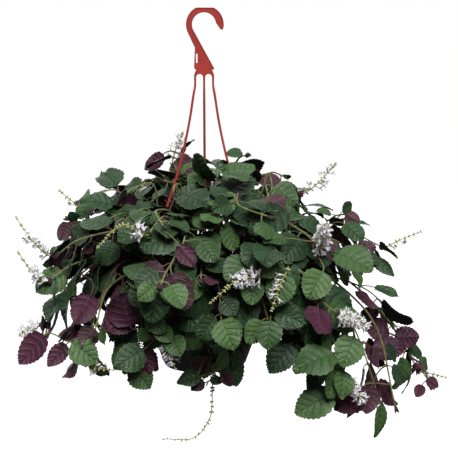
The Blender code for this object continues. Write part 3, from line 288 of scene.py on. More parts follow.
class Route:
    """A smooth curve with a frame at any distance along it: position, tangent, side and upper side."""

    def __init__(self, points, side):
        self.points = smooth_route(points, 2.5 * MM)
        self.step = (self.points[1] - self.points[0]).length
        self.length = sum((b - a).length for a, b in zip(self.points, self.points[1:]))
        self.sides = []
        for i in range(len(self.points)):
            tangent = self.tangent(i)
            side = (side - tangent * side.dot(tangent)).normalized()
            self.sides.append(side)

    def tangent(self, i):
        return (self.points[min(i + 1, len(self.points) - 1)] - self.points[max(i - 1, 0)]).normalized()

    def frame(self, distance):
        """Position, tangent, side and upper side at a distance from the start."""
        share = max(0.0, min(1.0, distance / self.length)) * (len(self.points) - 1)
        i = min(int(share), len(self.points) - 2)
        position = self.points[i].lerp(self.points[i + 1], share - i)
        tangent = self.tangent(i).lerp(self.tangent(i + 1), share - i).normalized()
        side = self.sides[i].lerp(self.sides[i + 1], share - i)
        side = (side - tangent * side.dot(tangent)).normalized()
        return position, tangent, side, side.cross(tangent)


def ring_of(position, side, upper, radius):
    """The four corners of a square stem, so that its faces look to side, upper, -side and -upper."""
    half = radius * math.sqrt(0.5)
    return [position + side * (a * half) + upper * (b * half) for a, b in CORNERS]


def in_mound(point, spare):
    """Whether a point lies under the outline, which falls a little towards the back, and not too low."""
    radius = math.hypot(point.x - MOUND_SHIFT, point.y) - spare
    if point.z < FILL_LOWEST - spare:
        return False
    for (near, high), (far, low) in zip(MOUND_OUTLINE, MOUND_OUTLINE[1:]):
        if radius <= far:
            limit = high + (low - high) * max(0.0, radius - near) / (far - near)
            return point.z < limit + spare - MOUND_LEAN * max(0.0, point.y)
    return False


class Obstacles:
    """What is placed so far, sorted into boxes of space and tested by the surfaces' crossing.

    A stem is kept under its shoot's name. With a spare, leaving the mound by more than that is a hit too.
    """

    CELL = 0.06

    def __init__(self):
        self.cells = {}
        self.spare = None

    def box_and_cells(self, points):
        """The corners of the box round some points, and the cells that it reaches into."""
        low, high = Vector(map(min, zip(*points))), Vector(map(max, zip(*points)))
        spans = [range(int(low[k] // self.CELL), int(high[k] // self.CELL) + 1) for k in range(3)]
        return low, high, [(i, j, k) for i in spans[0] for j in spans[1] for k in spans[2]]

    def add(self, points, faces, name=None):
        low, high, cells = self.box_and_cells(points)
        item = (name, low, high, BVHTree.FromPolygons(points, faces))
        for cell in cells:
            self.cells.setdefault(cell, []).append(item)

    def hit(self, points, faces, skip=""):
        """Whether a mesh crosses one that is already placed, apart from the stem to skip."""
        if self.spare is not None and not all(in_mound(point, self.spare) for point in points):
            return True
        low, high, cells = self.box_and_cells(points)
        tree, seen = None, set()
        for cell in cells:
            for item in self.cells.get(cell, ()):
                name, other_low, other_high, other = item
                if id(item) in seen or name == skip:
                    continue
                seen.add(id(item))
                if any(low[k] > other_high[k] or high[k] < other_low[k] for k in range(3)):
                    continue
                tree = tree or BVHTree.FromPolygons(points, faces)
                if tree.overlap(other):
                    return True
        return False


def shell_faces(sides, bands):
    """The faces of a closed shell of rings with so many points each, joined by so many bands."""
    faces = []
    for i in range(bands):
        for k in range(sides):
            a, b = i * sides + k, i * sides + (k + 1) % sides
            faces.append((a, b, b + sides, a + sides))
    return faces + [tuple(reversed(range(sides))), tuple(range(sides * bands, sides * (bands + 1)))]


def tube_mesh(route, start, radius_at, spacing=TUBE_STEP):
    """A closed square tube along a route from a distance on, as points and faces."""
    count = max(2, math.ceil((route.length - start) / spacing))
    points = []
    for i in range(count + 1):
        distance = start + (route.length - start) * i / count
        position, _, side, upper = route.frame(distance)
        points += ring_of(position, side, upper, radius_at(distance))
    return points, shell_faces(4, count)


def bowl_profile(steps=BOWL_STEPS):
    """Radius and height of the pot's outside, from the foot up to the rim band."""
    profile = []
    low, high = POT_BASE_Z + 2 * FOOT_HEIGHT, RIM_Z - RIM_BAND_HEIGHT
    for i in range(steps + 1):
        share = i / steps
        swell = math.sin(share * math.pi / 2) * 0.35 + share * 0.65
        radius = BASE_RADIUS + 3 * MM + (BOWL_TOP_RADIUS - BASE_RADIUS - 3 * MM) * swell
        profile.append((radius, low + (high - low) * share))
    return profile


def pot_keep_out():
    """A plain solid of revolution round the pot and its soil, as points and faces."""
    outline = [(BASE_RADIUS, POT_BASE_Z), *bowl_profile(), (FLANGE_RADIUS, RIM_Z - RIM_BAND_HEIGHT)]
    outline += [(FLANGE_RADIUS, RIM_Z), (BOWL_TOP_RADIUS, RIM_Z), (BOWL_TOP_RADIUS, SOIL_TOP)]
    outline = [(radius + 1.5 * MM, z) for radius, z in outline[:-2]] + outline[-2:]
    sides = 28
    points = [polar(radius, 360 * k / sides, z) for radius, z in outline for k in range(sides)]
    return points, shell_faces(sides, len(outline) - 1)


def strand_route(name):
    """A strand from the hook's head to its slot in the rim, straight down at both ends."""
    start_x = {"left": -LEG_OFFSET, "right": LEG_OFFSET, "back": 0.0}[name]
    slot = polar(LUG_RADIUS, LUG_ANGLES[name], RIM_Z)
    top = Vector((start_x, 0.0, HEAD_BOTTOM_Z - GAP))
    reach = Vector((slot.x - start_x, slot.y, 0.0))
    points = [top, top - UP * 8 * MM]
    for drop in (0.08, 0.20, 0.32, 0.46, 0.60, 0.74, 0.88):
        spread = (1 - STRAND_BOW) * drop + STRAND_BOW * drop**2
        points.append(top + reach * spread + UP * (RIM_Z - top.z) * drop)
    points += [slot + UP * 5 * MM, slot - UP * (FLANGE_THICKNESS + GAP)]
    return Route(points, Vector((slot.y, -slot.x, 0.0)).normalized())


def sight_keep_out():
    """A thin curtain from the left strand's upper part towards the front, which leaves stay out of."""
    route = strand_route("left")
    points, count = [], 8
    for i in range(count + 1):
        position = route.frame(route.length * (0.20 + 0.44 * i / count))[0]
        for forward, sideways in ((0.004, -1), (0.004, 1), (0.16, 1), (0.16, -1)):
            points.append(position + Vector((sideways * 2.5 * MM, -forward, 0.14 * forward)))
    return points, shell_faces(4, count)


def root_sites(count):
    """Places on the soil, spread like the seeds of a sunflower."""
    return [polar(0.1 * math.sqrt((i + 0.5) / count), i * 137.508, SOIL_TOP) for i in range(count)]


def arch_over(tip):
    """Where a shoot roots and the points of its way over the rim or up through the crown to the tip."""
    reach = tip.xy.length
    angle = math.degrees(math.atan2(tip.y, tip.x))
    root = min(0.095, 0.012 + 0.38 * reach)
    top = max(ARCH_LOW_Z, tip.z + 0.20 * max(0.0, reach - 0.10))
    middle = min(root + 0.5 * (reach - root), 0.170)
    # A steep fall stays near the pot until it is well below the rim.
    points = [
        polar(root + 0.28 * (middle - root), angle, SOIL_TOP + 0.58 * (top - SOIL_TOP)),
        polar(middle, angle, top),
        polar(middle + 0.62 * (reach - middle), angle, top + 0.42 * (tip.z - top)),
        tip,
    ]
    return polar(root, angle, SOIL_TOP), points


def planned_shoots(rng):
    """All shoots: name, wanted root, the route's points after it, leaf pairs, and the spike's way."""
    shoots = []
    for name, tip, pairs, spike in SHOWN_SHOOTS:
        root, points = arch_over(Vector(tip))
        shoots.append((name, root, points, pairs, [Vector(point) for point in spike]))
    for ring, count, (first, last), radius, height, pairs in FILLING_SHOOTS:
        for i in range(count):
            angle = first + (last - first) * i / (count - 1) + rng.uniform(-7, 7)
            tip = polar(radius * rng.uniform(0.94, 1.06), angle, height + rng.uniform(-0.012, 0.012))
            root, points = arch_over(tip)
            shoots.append((f"{ring}_{i + 1}", root, points, pairs, []))
    return shoots


def seat_roots(shoots):
    """Each shoot takes the free site nearest to where it wants to root, the outer ones first."""
    free = root_sites(len(shoots) + 2)
    seated = []
    for name, wanted, route, pairs, way in sorted(shoots, key=lambda s: -s[1].xy.length):
        site = min(free, key=lambda p: (p - wanted).length)
        free.remove(site)
        seated.append((name, site, route, pairs, way))
    return seated


def shoot_radius(length):
    """A shoot's radius by the distance along it."""
    return lambda distance: SHOOT_RADIUS + (TIP_RADIUS - SHOOT_RADIUS) * distance / length


def stem_hull(route, start, clearance):
    """A shoot's stem from a distance on, thicker than itself by a clearance, as points and faces."""
    radius_at = shoot_radius(route.length)
    return tube_mesh(route, start, lambda distance: radius_at(distance) + clearance)


def place_stem(rng, obstacles, site, via):
    """A route for a shoot's stem that crosses nothing placed before it, or None."""
    side = UP.cross(Vector((via[0].x, via[0].y, 0.0)))
    start = [site - UP * ROOT_DEPTH, site - UP * ROOT_DEPTH / 2, site, site + UP * 6 * MM]
    for attempt in range(STEM_TRIES):
        spread = attempt * 0.7 * MM
        route = Route([*start, *(p + jitter(rng, spread) for p in via)], side)
        if not obstacles.hit(*stem_hull(route, ROOT_DEPTH + 6 * MM, 1.2 * MM)):
            return route
    return None


def place_spike(rng, obstacles, route, way):
    """A spike's route on from the shoot's tip that crosses nothing placed before it, or None."""
    position, tangent, side, _ = route.frame(route.length)
    start = position + tangent * GAP
    for attempt in range(STEM_TRIES):
        spread = attempt * 0.6 * MM
        points = [start, start + tangent * 6 * MM]
        for k, offset in enumerate(way):
            points.append(position + tangent * 4 * MM + offset + jitter(rng, spread) * (k + 1) / len(way))
        spike = Route(points, side)
        if not obstacles.hit(*tube_mesh(spike, 8 * MM, lambda d: SPIKE_KEEP_OUT)):
            return spike
    return None


@dataclasses.dataclass
class Leaf:
    """A blade on its petiole: where the blade starts, its axes (across, along, normal), size and bend."""

    start: Vector
    across: Vector
    along: Vector
    normal: Vector
    length: float
    width: float
    droop: float
    cup: float
    face: int
    fine: bool = True

    def half_width(self, station):
        """Half the blade's width at a place along the midrib, from 0 at the base to 1 at the tip."""
        return 0.5 * self.width * math.sin(math.pi * station**0.62) ** 0.7

    def point(self, side, station, lift=0.0):
        """A point on the blade: side from -1 to 1 of its half width, raised by lift off its middle."""
        out = side * self.half_width(min(1.0, station)) if station < 1 else 0.0
        return self.at(out, station, lift)

    def at(self, out, station, lift):
        """A point at a distance out from the midrib and a place along it, raised by lift."""
        turn = self.droop * station
        if abs(self.droop) > 1e-3:
            forward = self.length / self.droop * math.sin(turn)
            sink = self.length / self.droop * (1 - math.cos(turn))
        else:
            forward, sink = self.length * station, 0.0
        height = self.cup * out * out / (0.5 * self.width) + lift
        local_up = self.normal * math.cos(turn) + self.along * math.sin(turn)
        return self.start + self.across * out + self.along * forward - self.normal * sink + local_up * height

    def neck(self):
        """The petiole's end, four corners: right, top, left and bottom."""
        right, top = self.across * PETIOLE_RADIUS, self.normal * PETIOLE_RADIUS
        return [self.start + right, self.start + top, self.start - right, self.start - top]

    def outline(self, scale=1.0):
        """The edge from the right of the base round the tip to the left."""
        stations = YOUNG_OUTLINE if self.length < YOUNG_LENGTH else OUTLINE
        right = [self.point(scale * out, station) for station, out in stations]
        left = [self.point(-scale * out, station) for station, out in stations]
        return right + [self.point(0.0, scale)] + left[::-1]

    def blade(self, thickness=BLADE_HALF_THICKNESS, scale=1.0):
        """The blade with its neck as points and faces, open where the petiole joins."""
        points = self.neck() + self.outline(scale)
        edge = [0, *range(4, len(points)), 2]
        points += [self.point(0.0, MIDRIB_STATION, thickness), self.point(0.0, MIDRIB_STATION, -thickness)]
        top, bottom = len(points) - 2, len(points) - 1
        faces = [(top, a, b) for a, b in zip(edge, edge[1:])] + [(top, 2, 1), (top, 1, 0)]
        faces += [(bottom, b, a) for a, b in zip(edge, edge[1:])] + [(bottom, 3, 2), (bottom, 0, 3)]
        return points, faces


def mound_normal(position):
    """Outwards from the mound of leaves: up at its crown and sideways on its skirt."""
    outward = Vector((position.x, position.y, 0.0))
    radius = max(outward.length, 1 * MM)
    angle = math.atan2((position.z - MOUND_CENTRE_Z) / MOUND_HEIGHT, radius / MOUND_RADIUS)
    angle = max(angle, math.radians(14))
    return outward / radius * math.cos(angle) + UP * math.sin(angle)


def nearest_face(turn):
    """Which of the stem's four faces looks most nearly along an angle round it."""
    return min(range(4), key=lambda face: abs((turn - 90 * face + 180) % 360 - 180))


def make_leaf(rng, route, distance, turn, length, attempt, flip_chance, tilt):
    """One leaf at a node, turned round the stem by an angle from its side. Later attempts stray further."""
    position, tangent, side, upper = route.frame(distance)
    stray = 8 + 2.2 * attempt
    turn += rng.uniform(-stray, stray) * 0.6
    around = side * math.cos(math.radians(turn)) + upper * math.sin(math.radians(turn))
    face = nearest_face(turn)
    petiole = (around + tangent * rng.uniform(0.15, 0.45)).normalized()
    outward = mound_normal(position)
    low = min(1.0, max(0.0, (-0.33 - position.z) / 0.20))
    size = length * rng.uniform(0.88, 1.10) * (1 - 0.014 * attempt)
    start = position + petiole * (0.17 * size + SHOOT_RADIUS + rng.uniform(0.0, 6.0) * MM)
    along = petiole * 0.95 + tangent * rng.uniform(0.2, 0.7) - UP * (0.15 + 0.75 * low) + outward * 0.25
    along = (along.normalized() + jitter(rng, 1) * (0.12 + 0.02 * attempt)).normalized()
    if along.dot(petiole) < 0.5:
        along = (along + petiole * 0.6).normalized()
    facing = outward + jitter(rng, 1) * (0.22 + 0.02 * attempt)
    normal = facing - along * facing.dot(along)
    if normal.length < 0.15:
        normal = UP - along * UP.dot(along) + side * 0.01
    normal.normalize()
    if rng.random() < flip_chance:
        normal = -normal
    normal = rotated(normal, along, rng.uniform(-tilt, tilt))
    across = along.cross(normal)
    width = size * LEAF_WIDTH_RATIO * rng.uniform(0.92, 1.06)
    droop = rng.uniform(0.15, 0.75)
    cup = rng.uniform(-0.22, 0.16)
    return Leaf(start, across, along, normal, size, width, droop, cup, face)


def socket_points(route, distance, face):
    """The corners of the patch of a stem's face that a petiole grows from, in add_leaf's order."""
    radius_at = shoot_radius(route.length)
    rings = []
    for place in (distance - NODE_HALF, distance + NODE_HALF):
        position, _, side, upper = route.frame(place)
        rings.append(ring_of(position, side, upper, radius_at(place)))
    following = (face + 1) % 4
    return [rings[0][face], rings[0][following], rings[1][following], rings[1][face]]


def matched(socket, neck):
    """The neck's corners in the order that twists the petiole least; both run round the same way."""
    orders = [neck[shift:] + neck[:shift] for shift in range(4)]
    return min(orders, key=lambda order: sum((a - b).length for a, b in zip(socket, order)))


def petiole_mesh(route, distance, leaf, first=0.0, last=1.0, grow=0.3 * MM):
    """A stretch of the petiole, a little thicker than itself, as points and faces."""
    socket = socket_points(route, distance, leaf.face)
    neck = matched(socket, leaf.neck())
    points = []
    for share in (first, last):
        ring = [a.lerp(b, share) for a, b in zip(socket, neck)]
        centre = sum(ring, Vector()) / 4
        points += [p + (p - centre).normalized() * grow for p in ring]
    return points, shell_faces(4, 1)


def petiole_fits(obstacles, name, route, distance, leaf):
    """Whether the petiole comes from behind its blade and crosses neither blade, stem nor anything else."""
    line = leaf.start - sum(socket_points(route, distance, leaf.face), Vector()) / 4
    if line.normalized().dot(leaf.along) < 0.2:
        return False
    blade = Obstacles()
    blade.add(*leaf.blade())
    if blade.hit(*petiole_mesh(route, distance, leaf, first=0.15, last=0.85, grow=0.1 * MM)):
        return False
    if obstacles.hit(*petiole_mesh(route, distance, leaf, first=0.28, grow=0.6 * MM)):
        return False
    if obstacles.hit(*petiole_mesh(route, distance, leaf, first=0.06, last=0.5, grow=0.1 * MM), skip=name):
        return False
    return not obstacles.hit(*petiole_mesh(route, distance, leaf, first=0.15, grow=0.4 * MM), skip=name)


def inside_pot(points):
    """Whether a point lies in the pot or its soil."""
    profile = bowl_profile()
    for p in points:
        radius = math.hypot(p.x, p.y)
        if p.z < SOIL_TOP + 2 * MM and radius < BOWL_TOP_RADIUS and p.z > RIM_Z - RIM_BAND_HEIGHT:
            return True
        if POT_BASE_Z < p.z <= RIM_Z - RIM_BAND_HEIGHT:
            share = (p.z - POT_BASE_Z) / (profile[-1][1] - POT_BASE_Z)
            if radius < BASE_RADIUS + (BOWL_TOP_RADIUS - BASE_RADIUS) * share:
                return True
    return False


def keep_leaf(obstacles, shoot, index, leaf, blade):
    """Adds a leaf to a node if its petiole fits there, and tells whether it did."""
    distance, leaves = shoot.nodes[index]
    if not petiole_fits(obstacles, shoot.name, shoot.route, distance, leaf):
        return False
    obstacles.add(*blade)
    obstacles.add(*petiole_mesh(shoot.route, distance, leaf))
    leaves.append(leaf)
    return True


def place_leaf(rng, obstacles, shoot, index, turn, length, flip_chance, tries=LEAF_TRIES,
               clearance=LEAF_CLEARANCE, tilt=LEAF_TILT, fine=True):
    """Puts a leaf that crosses nothing placed before it on a free face of a shoot's node, if it can."""
    distance, leaves = shoot.nodes[index]
    taken = [other.face for other in leaves]
    for attempt in range(tries):
        leaf = make_leaf(rng, shoot.route, distance, turn, length, attempt, flip_chance, tilt)
        leaf.fine = fine
        blade = leaf.blade(clearance, BLADE_MARGIN)
        if leaf.face in taken or inside_pot(blade[0]) or obstacles.hit(*blade):
            continue
        if keep_leaf(obstacles, shoot, index, leaf, blade):
            return


def shown_leaf(rng, row, attempt):
    """One of the leaves that stand out, as its row says; later attempts stray a little."""
    base, tip, facing, ratio = row
    stray = jitter(rng, 1) * attempt * 0.5 * MM
    base, tip = Vector(base) * MM + stray, Vector(tip) * MM + stray
    chord = (tip - base).normalized()
    facing = Vector(FACINGS[facing]) + jitter(rng, 0.12)
    normal = (facing - chord * facing.dot(chord)).normalized()
    half = SHOWN_DROOP / 2
    along = chord * math.cos(half) + normal * math.sin(half)
    upward = normal * math.cos(half) - chord * math.sin(half)
    length = (tip - base).length * half / math.sin(half)
    return Leaf(base, along.cross(upward), along, upward, length, length * ratio, SHOWN_DROOP,
                rng.uniform(-0.12, 0.08), 0)


def free_nodes(shoots, leaf):
    """The nodes within a petiole's reach of a blade, the best placed first: shoot, index and face."""
    found = []
    for shoot in shoots:
        for index, (distance, leaves) in enumerate(shoot.nodes):
            position, tangent, side, upper = shoot.route.frame(distance)
            line = leaf.start - position
            if len(leaves) == 2 or not 7 * MM < line.length < SHOWN_REACH:
                continue
            turn = math.degrees(math.atan2(line.dot(upper), line.dot(side)))
            face = nearest_face(turn)
            if face in [other.face for other in leaves] or abs(line.dot(tangent)) > 0.92 * line.length:
                continue
            cost = line.length + 0.02 * (1 - line.normalized().dot(leaf.along))
            found.append((cost, len(found), shoot, index, face))
    return [item[2:] for item in sorted(found, key=lambda item: item[:2])]


def place_shown_leaf(rng, obstacles, shoots, row):
    """Puts one of the leaves that stand out on the nearest free node, if it crosses nothing."""
    for attempt in range(SHOWN_TRIES):
        leaf = shown_leaf(rng, row, attempt)
        blade = leaf.blade(LEAF_CLEARANCE, BLADE_MARGIN)
        if inside_pot(blade[0]) or obstacles.hit(*blade):
            continue
        for shoot, index, face in free_nodes(shoots, leaf)[:4]:
            leaf.face = face
            if keep_leaf(obstacles, shoot, index, leaf, blade):
                return


def pair_turns(index, mirrored):
    """The two leaves' angles round the stem: to both sides, then one raised over it and one lowered."""
    if index % 2 == 0:
        return (18.0, 162.0)
    return (112.0, -14.0) if mirrored else (68.0, 194.0)


class Shoot:
    """A leafy shoot: its stem's route, its leaves by node, and its flower spike."""

    def __init__(self, name, route, pairs, way):
        self.name = name
        self.route = route
        self.pairs = pairs
        self.way = way
        self.spike = None
        self.nodes = [(distance, []) for distance in self.node_distances()]

    def node_distances(self):
        """Where the leaf pairs stand, from the tip inwards with longer and longer internodes."""
        distance, gap, places = self.route.length - 9 * MM, 0.026, []
        for _ in range(self.pairs):
            places.append(distance)
            distance -= gap
            gap *= 1.16
        return places[::-1]


def nodes_with_room(shoots):
    """Every node, those next to the tips first: its shoot, index, rank and the turns that are still free."""
    for rank in range(1, 1 + max(shoot.pairs for shoot in shoots)):
        for number, shoot in enumerate(shoots):
            if rank <= shoot.pairs:
                index = shoot.pairs - rank
                taken = len(shoot.nodes[index][1])
                yield shoot, index, rank, pair_turns(index, number % 2 == 1)[taken:]


def lay_out():
    """All shoots with their spikes and leaves, none crossing another. The draws come from one seed."""
    rng = random.Random(LAYOUT_SEED)
    obstacles = Obstacles()
    obstacles.add(*pot_keep_out())
    for name in LUG_ANGLES:
        route = strand_route(name)
        obstacles.add(*tube_mesh(route, 0.0, lambda d: 3.6 * MM, 0.02))
    obstacles.add(*sight_keep_out())
    shoots = []
    for name, site, via, pairs, way in seat_roots(planned_shoots(rng)):
        route = place_stem(rng, obstacles, site, via)
        if route is None:
            raise RuntimeError(f"The shoot {name} found no way past the others")
        obstacles.add(*stem_hull(route, 0.0, 0.4 * MM), name)
        shoots.append(Shoot(name, route, pairs, way))
    for row in SHOWN_LEAVES:
        place_shown_leaf(rng, obstacles, shoots, row)
    for shoot in shoots:
        if shoot.way:
            shoot.spike = place_spike(rng, obstacles, shoot.route, shoot.way)
            if shoot.spike is None:
                raise RuntimeError(f"The spike of {shoot.name} found no way past the others")
            obstacles.add(*tube_mesh(shoot.spike, 5 * MM, lambda d: SPIKE_KEEP_OUT))
    for shoot, index, rank, turns in nodes_with_room(shoots):
        length = LEAF_LENGTH * {1: 0.70, 2: 0.92}.get(rank, 1.0)
        flip = 0.55 if shoot.name in PURPLE_SHOOTS else 0.10
        for turn in turns:
            place_leaf(rng, obstacles, shoot, index, turn, length, flip)
    return shoots, obstacles


# Filling shoots and inner leaves, which only this script adds
FILL_SEED = 7
FILL_TRIES = 10
FILL_CLEARANCE = 0.7 * MM
FILL_STEM_TRIES = 5
FILL_STRAY = 0.012
FILL_TILT = 42.0
FILL_RINGS = (
    ("fill_heart", 9, 0.085, -0.352, 3),
    ("fill_crown", 8, 0.055, -0.262, 4),
    ("fill_high", 13, 0.130, -0.292, 4),
    ("fill_shoulder", 17, 0.195, -0.338, 5),
    ("fill_side", 19, 0.248, -0.405, 5),
    ("fill_skirt", 17, 0.235, -0.490, 5),
    ("fill_apron", 12, 0.160, -0.550, 4),
)


# Filling shoots placed one by one: the stem's tip and the leaf pairs
FILL_SHOWN = (
    ("fill_shown_end", (0.285, -0.150, -0.612), 4),
    ("fill_shown_foot", (-0.105, -0.150, -0.560), 4),
    ("fill_shown_right", (0.255, -0.060, -0.395), 4),
)
# Side shoots: the shoot and the node that each grows from, its tip and its leaf pairs
SIDE_SHOOTS = (
    ("left_far", 2, (-0.250, -0.124, -0.535), 2),
    ("left_low", 0, (-0.229, -0.142, -0.532), 3),
    ("front_low", 2, (-0.010, -0.140, -0.588), 2),
    ("front_low", 1, (0.030, -0.150, -0.580), 2),
    ("long_right", 2, (0.366, -0.102, -0.604), 2),
    ("right_far", 0, (0.238, -0.012, -0.338), 2),
    ("right_far", 1, (0.254, -0.020, -0.358), 1),
    ("left_high", 2, (-0.221, -0.042, -0.343), 2),
    ("left_mid", 1, (-0.185, -0.085, -0.372), 2),
    ("crown_2", 3, (0.070, 0.050, -0.243), 1),
    ("crown_left", 3, (-0.056, 0.014, -0.240), 1),
)
# Leaves of theirs and of free nodes near them, in the same terms as the solids' leaves that stand out
FILL_LEAVES = (
    ((-254, -140, -516), (-296, -142, -564), "under", 0.66),
    ((-211, -158, -526), (-168, -164, -558), "out", 0.80),
    ((-240, -152, -545), (-250, -156, -572), "under", 0.85),
    ((-180, -146, -507), (-226, -152, -514), "under", 0.80),
    ((-6, -144, -584), (-44, -147, -595), "up", 0.80),
    ((0, -146, -590), (-20, -149, -607), "under", 0.80),
    ((12, -150, -582), (28, -155, -592), "out", 0.80),
    ((34, -152, -578), (46, -158, -598), "under", 0.80),
    ((252, -178, -592), (208, -184, -630), "under", 0.95),
    ((272, -156, -598), (262, -164, -642), "under", 0.75),
    ((-112, -152, -562), (-84, -160, -596), "out", 0.90),
    ((232, -70, -345), (262, -85, -372), "up", 0.90),
    ((370, -106, -600), (388, -108, -614), "under", 0.80),
    ((360, -108, -608), (350, -112, -628), "under", 0.80),
    ((214, -14, -336), (188, -20, -331), "up", 0.80),
    ((238, -20, -336), (260, -30, -350), "under", 0.85),
    ((-212, -50, -338), (-192, -60, -350), "under", 0.80),
    ((-226, -48, -346), (-240, -56, -376), "under", 0.75),
    ((76, 44, -237), (102, 40, -247), "up", 0.80),
    ((64, 48, -238), (36, 46, -241), "up", 0.80),
    ((-70, 20, -238), (-103, 26, -266), "under", 0.60),
)
# The outline that the other filling leaves stay under, as radius and height, and how far it is moved right
MOUND_OUTLINE = (
    (0.0, -0.246), (0.10, -0.256), (0.15, -0.275), (0.21, -0.305), (0.24, -0.345), (0.27, -0.385),
    (0.30, -0.440), (0.315, -0.600),
)
MOUND_SHIFT = 0.020
MOUND_LEAN = 0.14
FILL_LOWEST = -0.572
STEM_SPARE = 0.010
# Where many leaves turn their undersides out
PLUM_PATCHES = (
    (-0.035, -0.160, -0.425),
    (-0.160, -0.120, -0.470),
    (0.300, -0.080, -0.510),
    (-0.230, -0.050, -0.380),
)
PLUM_REACH = 0.065
# How likely an added leaf turns its underside out: in those patches, on purple shoots, on the listed filling
# shoots and elsewhere
PLUM_FLIP = 0.5
PURPLE_FLIP = 0.35
SHOWN_FLIP = 0.2
FILL_FLIP = 0.05
SHOWN_SPARE = 0.035

# The spikes' flowers: the share that is open, the stretch of the spike that they open on, and how full it is
BLOOM = {
    "crown_left": (0.6, 0.15, 0.90, 0.8),
    "upper_right": (0.6, 0.25, 0.95, 0.7),
    "upper_left": (0.2, 0.00, 0.50, 0.8),
    "left_high": (0.6, 0.00, 0.62, 0.8),
    "left_mid": (0.5, 0.00, 0.55, 0.8),
    "left_arch": (0.9, 0.00, 0.26, 0.9),
    "left_far": (0.9, 0.15, 0.90, 0.8),
    "left_low": (0.5, 0.00, 0.70, 0.8),
    "front_left": (0.9, 0.10, 0.75, 0.8),
    "front_low": (0.1, 0.00, 0.50, 0.4),
    "front_arch": (0.95, 0.05, 0.48, 0.9),
    "front_pair": (0.35, 0.15, 0.80, 0.9),
    "right_cluster": (1.0, 0.00, 1.00, 1.0),
    "right_bud": (0.1, 0.00, 0.50, 0.8),
    "right_mid": (1.0, 0.00, 0.95, 1.0),
    "right_far": (0.3, 0.00, 0.55, 0.7),
    "right_front": (0.9, 0.15, 0.95, 0.8),
    "long_right": (0.1, 0.00, 0.40, 0.7),
}

# The seeds of the fine forms' draws, and the angles from which an edge is shaded sharp
SHOOT_SEED = 100
FILLING_SEED = 500
SPIKE_SEED = 900
LEAF_SHARP = 62.0
FLOWER_SHARP = 50.0
HANGER_SHARP = 38.0
POT_SHARP = 30.0
CRUMB_SHARP = 20.0


def fill_route(rng, room, tip, stray):
    """A filling shoot's stem to near its tip: each try sets out from another place on the soil."""
    for _ in range(FILL_STEM_TRIES):
        end = tip + jitter(rng, stray)
        root, points = arch_over(end)
        angle = math.degrees(math.atan2(end.y, end.x)) + rng.uniform(-25, 25)
        site = polar(root.xy.length * rng.uniform(0.6, 1.1), angle, SOIL_TOP)
        route = place_stem(rng, room, site, points)
        if route:
            return route
    return None


def side_route(rng, room, parent, index, tip):
    """A side shoot's stem, arched from a node of another shoot to near its tip, that crosses nothing."""
    position, _, side, _ = parent.route.frame(parent.nodes[index][0])
    way = tip - position
    for attempt in range(STEM_TRIES):
        spread = attempt * 0.3 * MM
        points = [position]
        for share, rise in ((0.35, 0.16), (0.70, 0.13), (1.0, 0.0)):
            points.append(position + way * share + UP * rise * way.length + jitter(rng, spread) * share)
        route = Route(points, side)
        if not room.hit(*stem_hull(route, 7 * MM, 0.6 * MM), skip=parent.name):
            return route
    return None


def keep_shoot(room, added, name, route, pairs):
    """Adds a filling shoot with its stem's route, if one was found."""
    if route:
        room.add(*stem_hull(route, 0.0, 0.3 * MM), name)
        added.append(Shoot(name, route, pairs, []))


def shown_fill(room, shoots):
    """The side shoots and the filling shoots placed one by one, with their leaves that stand out."""
    rng = random.Random(FILL_SEED)
    named = {shoot.name: shoot for shoot in shoots}
    added = []
    for number, (parent, index, tip, pairs) in enumerate(SIDE_SHOOTS):
        route = side_route(rng, room, named[parent], index, Vector(tip))
        keep_shoot(room, added, f"fill_shown_side_{number + 1}", route, pairs)
    for name, tip, pairs in FILL_SHOWN:
        keep_shoot(room, added, name, fill_route(rng, room, Vector(tip), 0.0), pairs)
    for row in FILL_LEAVES:
        place_shown_leaf(rng, room, shoots + added, row)
    return added


def ring_fill(rng, room):
    """The filling shoots that stand in rings."""
    added = []
    room.spare = STEM_SPARE
    for ring, count, radius, height, pairs in FILL_RINGS:
        for i in range(count):
            angle = 360 * (i + rng.uniform(-0.3, 0.3)) / count - 90
            tip = polar(radius * rng.uniform(0.9, 1.1), angle, height + rng.uniform(-0.014, 0.014))
            keep_shoot(room, added, f"{ring}_{i + 1}", fill_route(rng, room, tip, FILL_STRAY), pairs)
    return added


def fill_plant(shoots, room):
    """Shoots between the solid ones, and leaves on every node with room for more. Gives the new shoots."""
    added = shown_fill(room, shoots)
    rng = random.Random(FILL_SEED + 1)
    added += ring_fill(rng, room)
    for shoot, index, rank, turns in nodes_with_room(shoots + added):
        by_hand = shoot.name.startswith("fill_shown")
        length = LEAF_LENGTH * {1: 0.62, 2: 0.80}.get(rank, 0.90) * (0.75 if by_hand else 1.0)
        position = shoot.route.frame(shoot.nodes[index][0])[0]
        if any((position - Vector(patch)).length < PLUM_REACH for patch in PLUM_PATCHES):
            flip = PLUM_FLIP
        elif shoot.name in PURPLE_SHOOTS:
            flip = PURPLE_FLIP
        else:
            flip = SHOWN_FLIP if by_hand else FILL_FLIP
        room.spare = SHOWN_SPARE if by_hand else 0.0
        for turn in turns:
            size = length * rng.uniform(0.70, 1.04)
            place_leaf(rng, room, shoot, index, turn, size, flip, FILL_TRIES, FILL_CLEARANCE, FILL_TILT,
                       fine=False)
    return added


# Fine forms

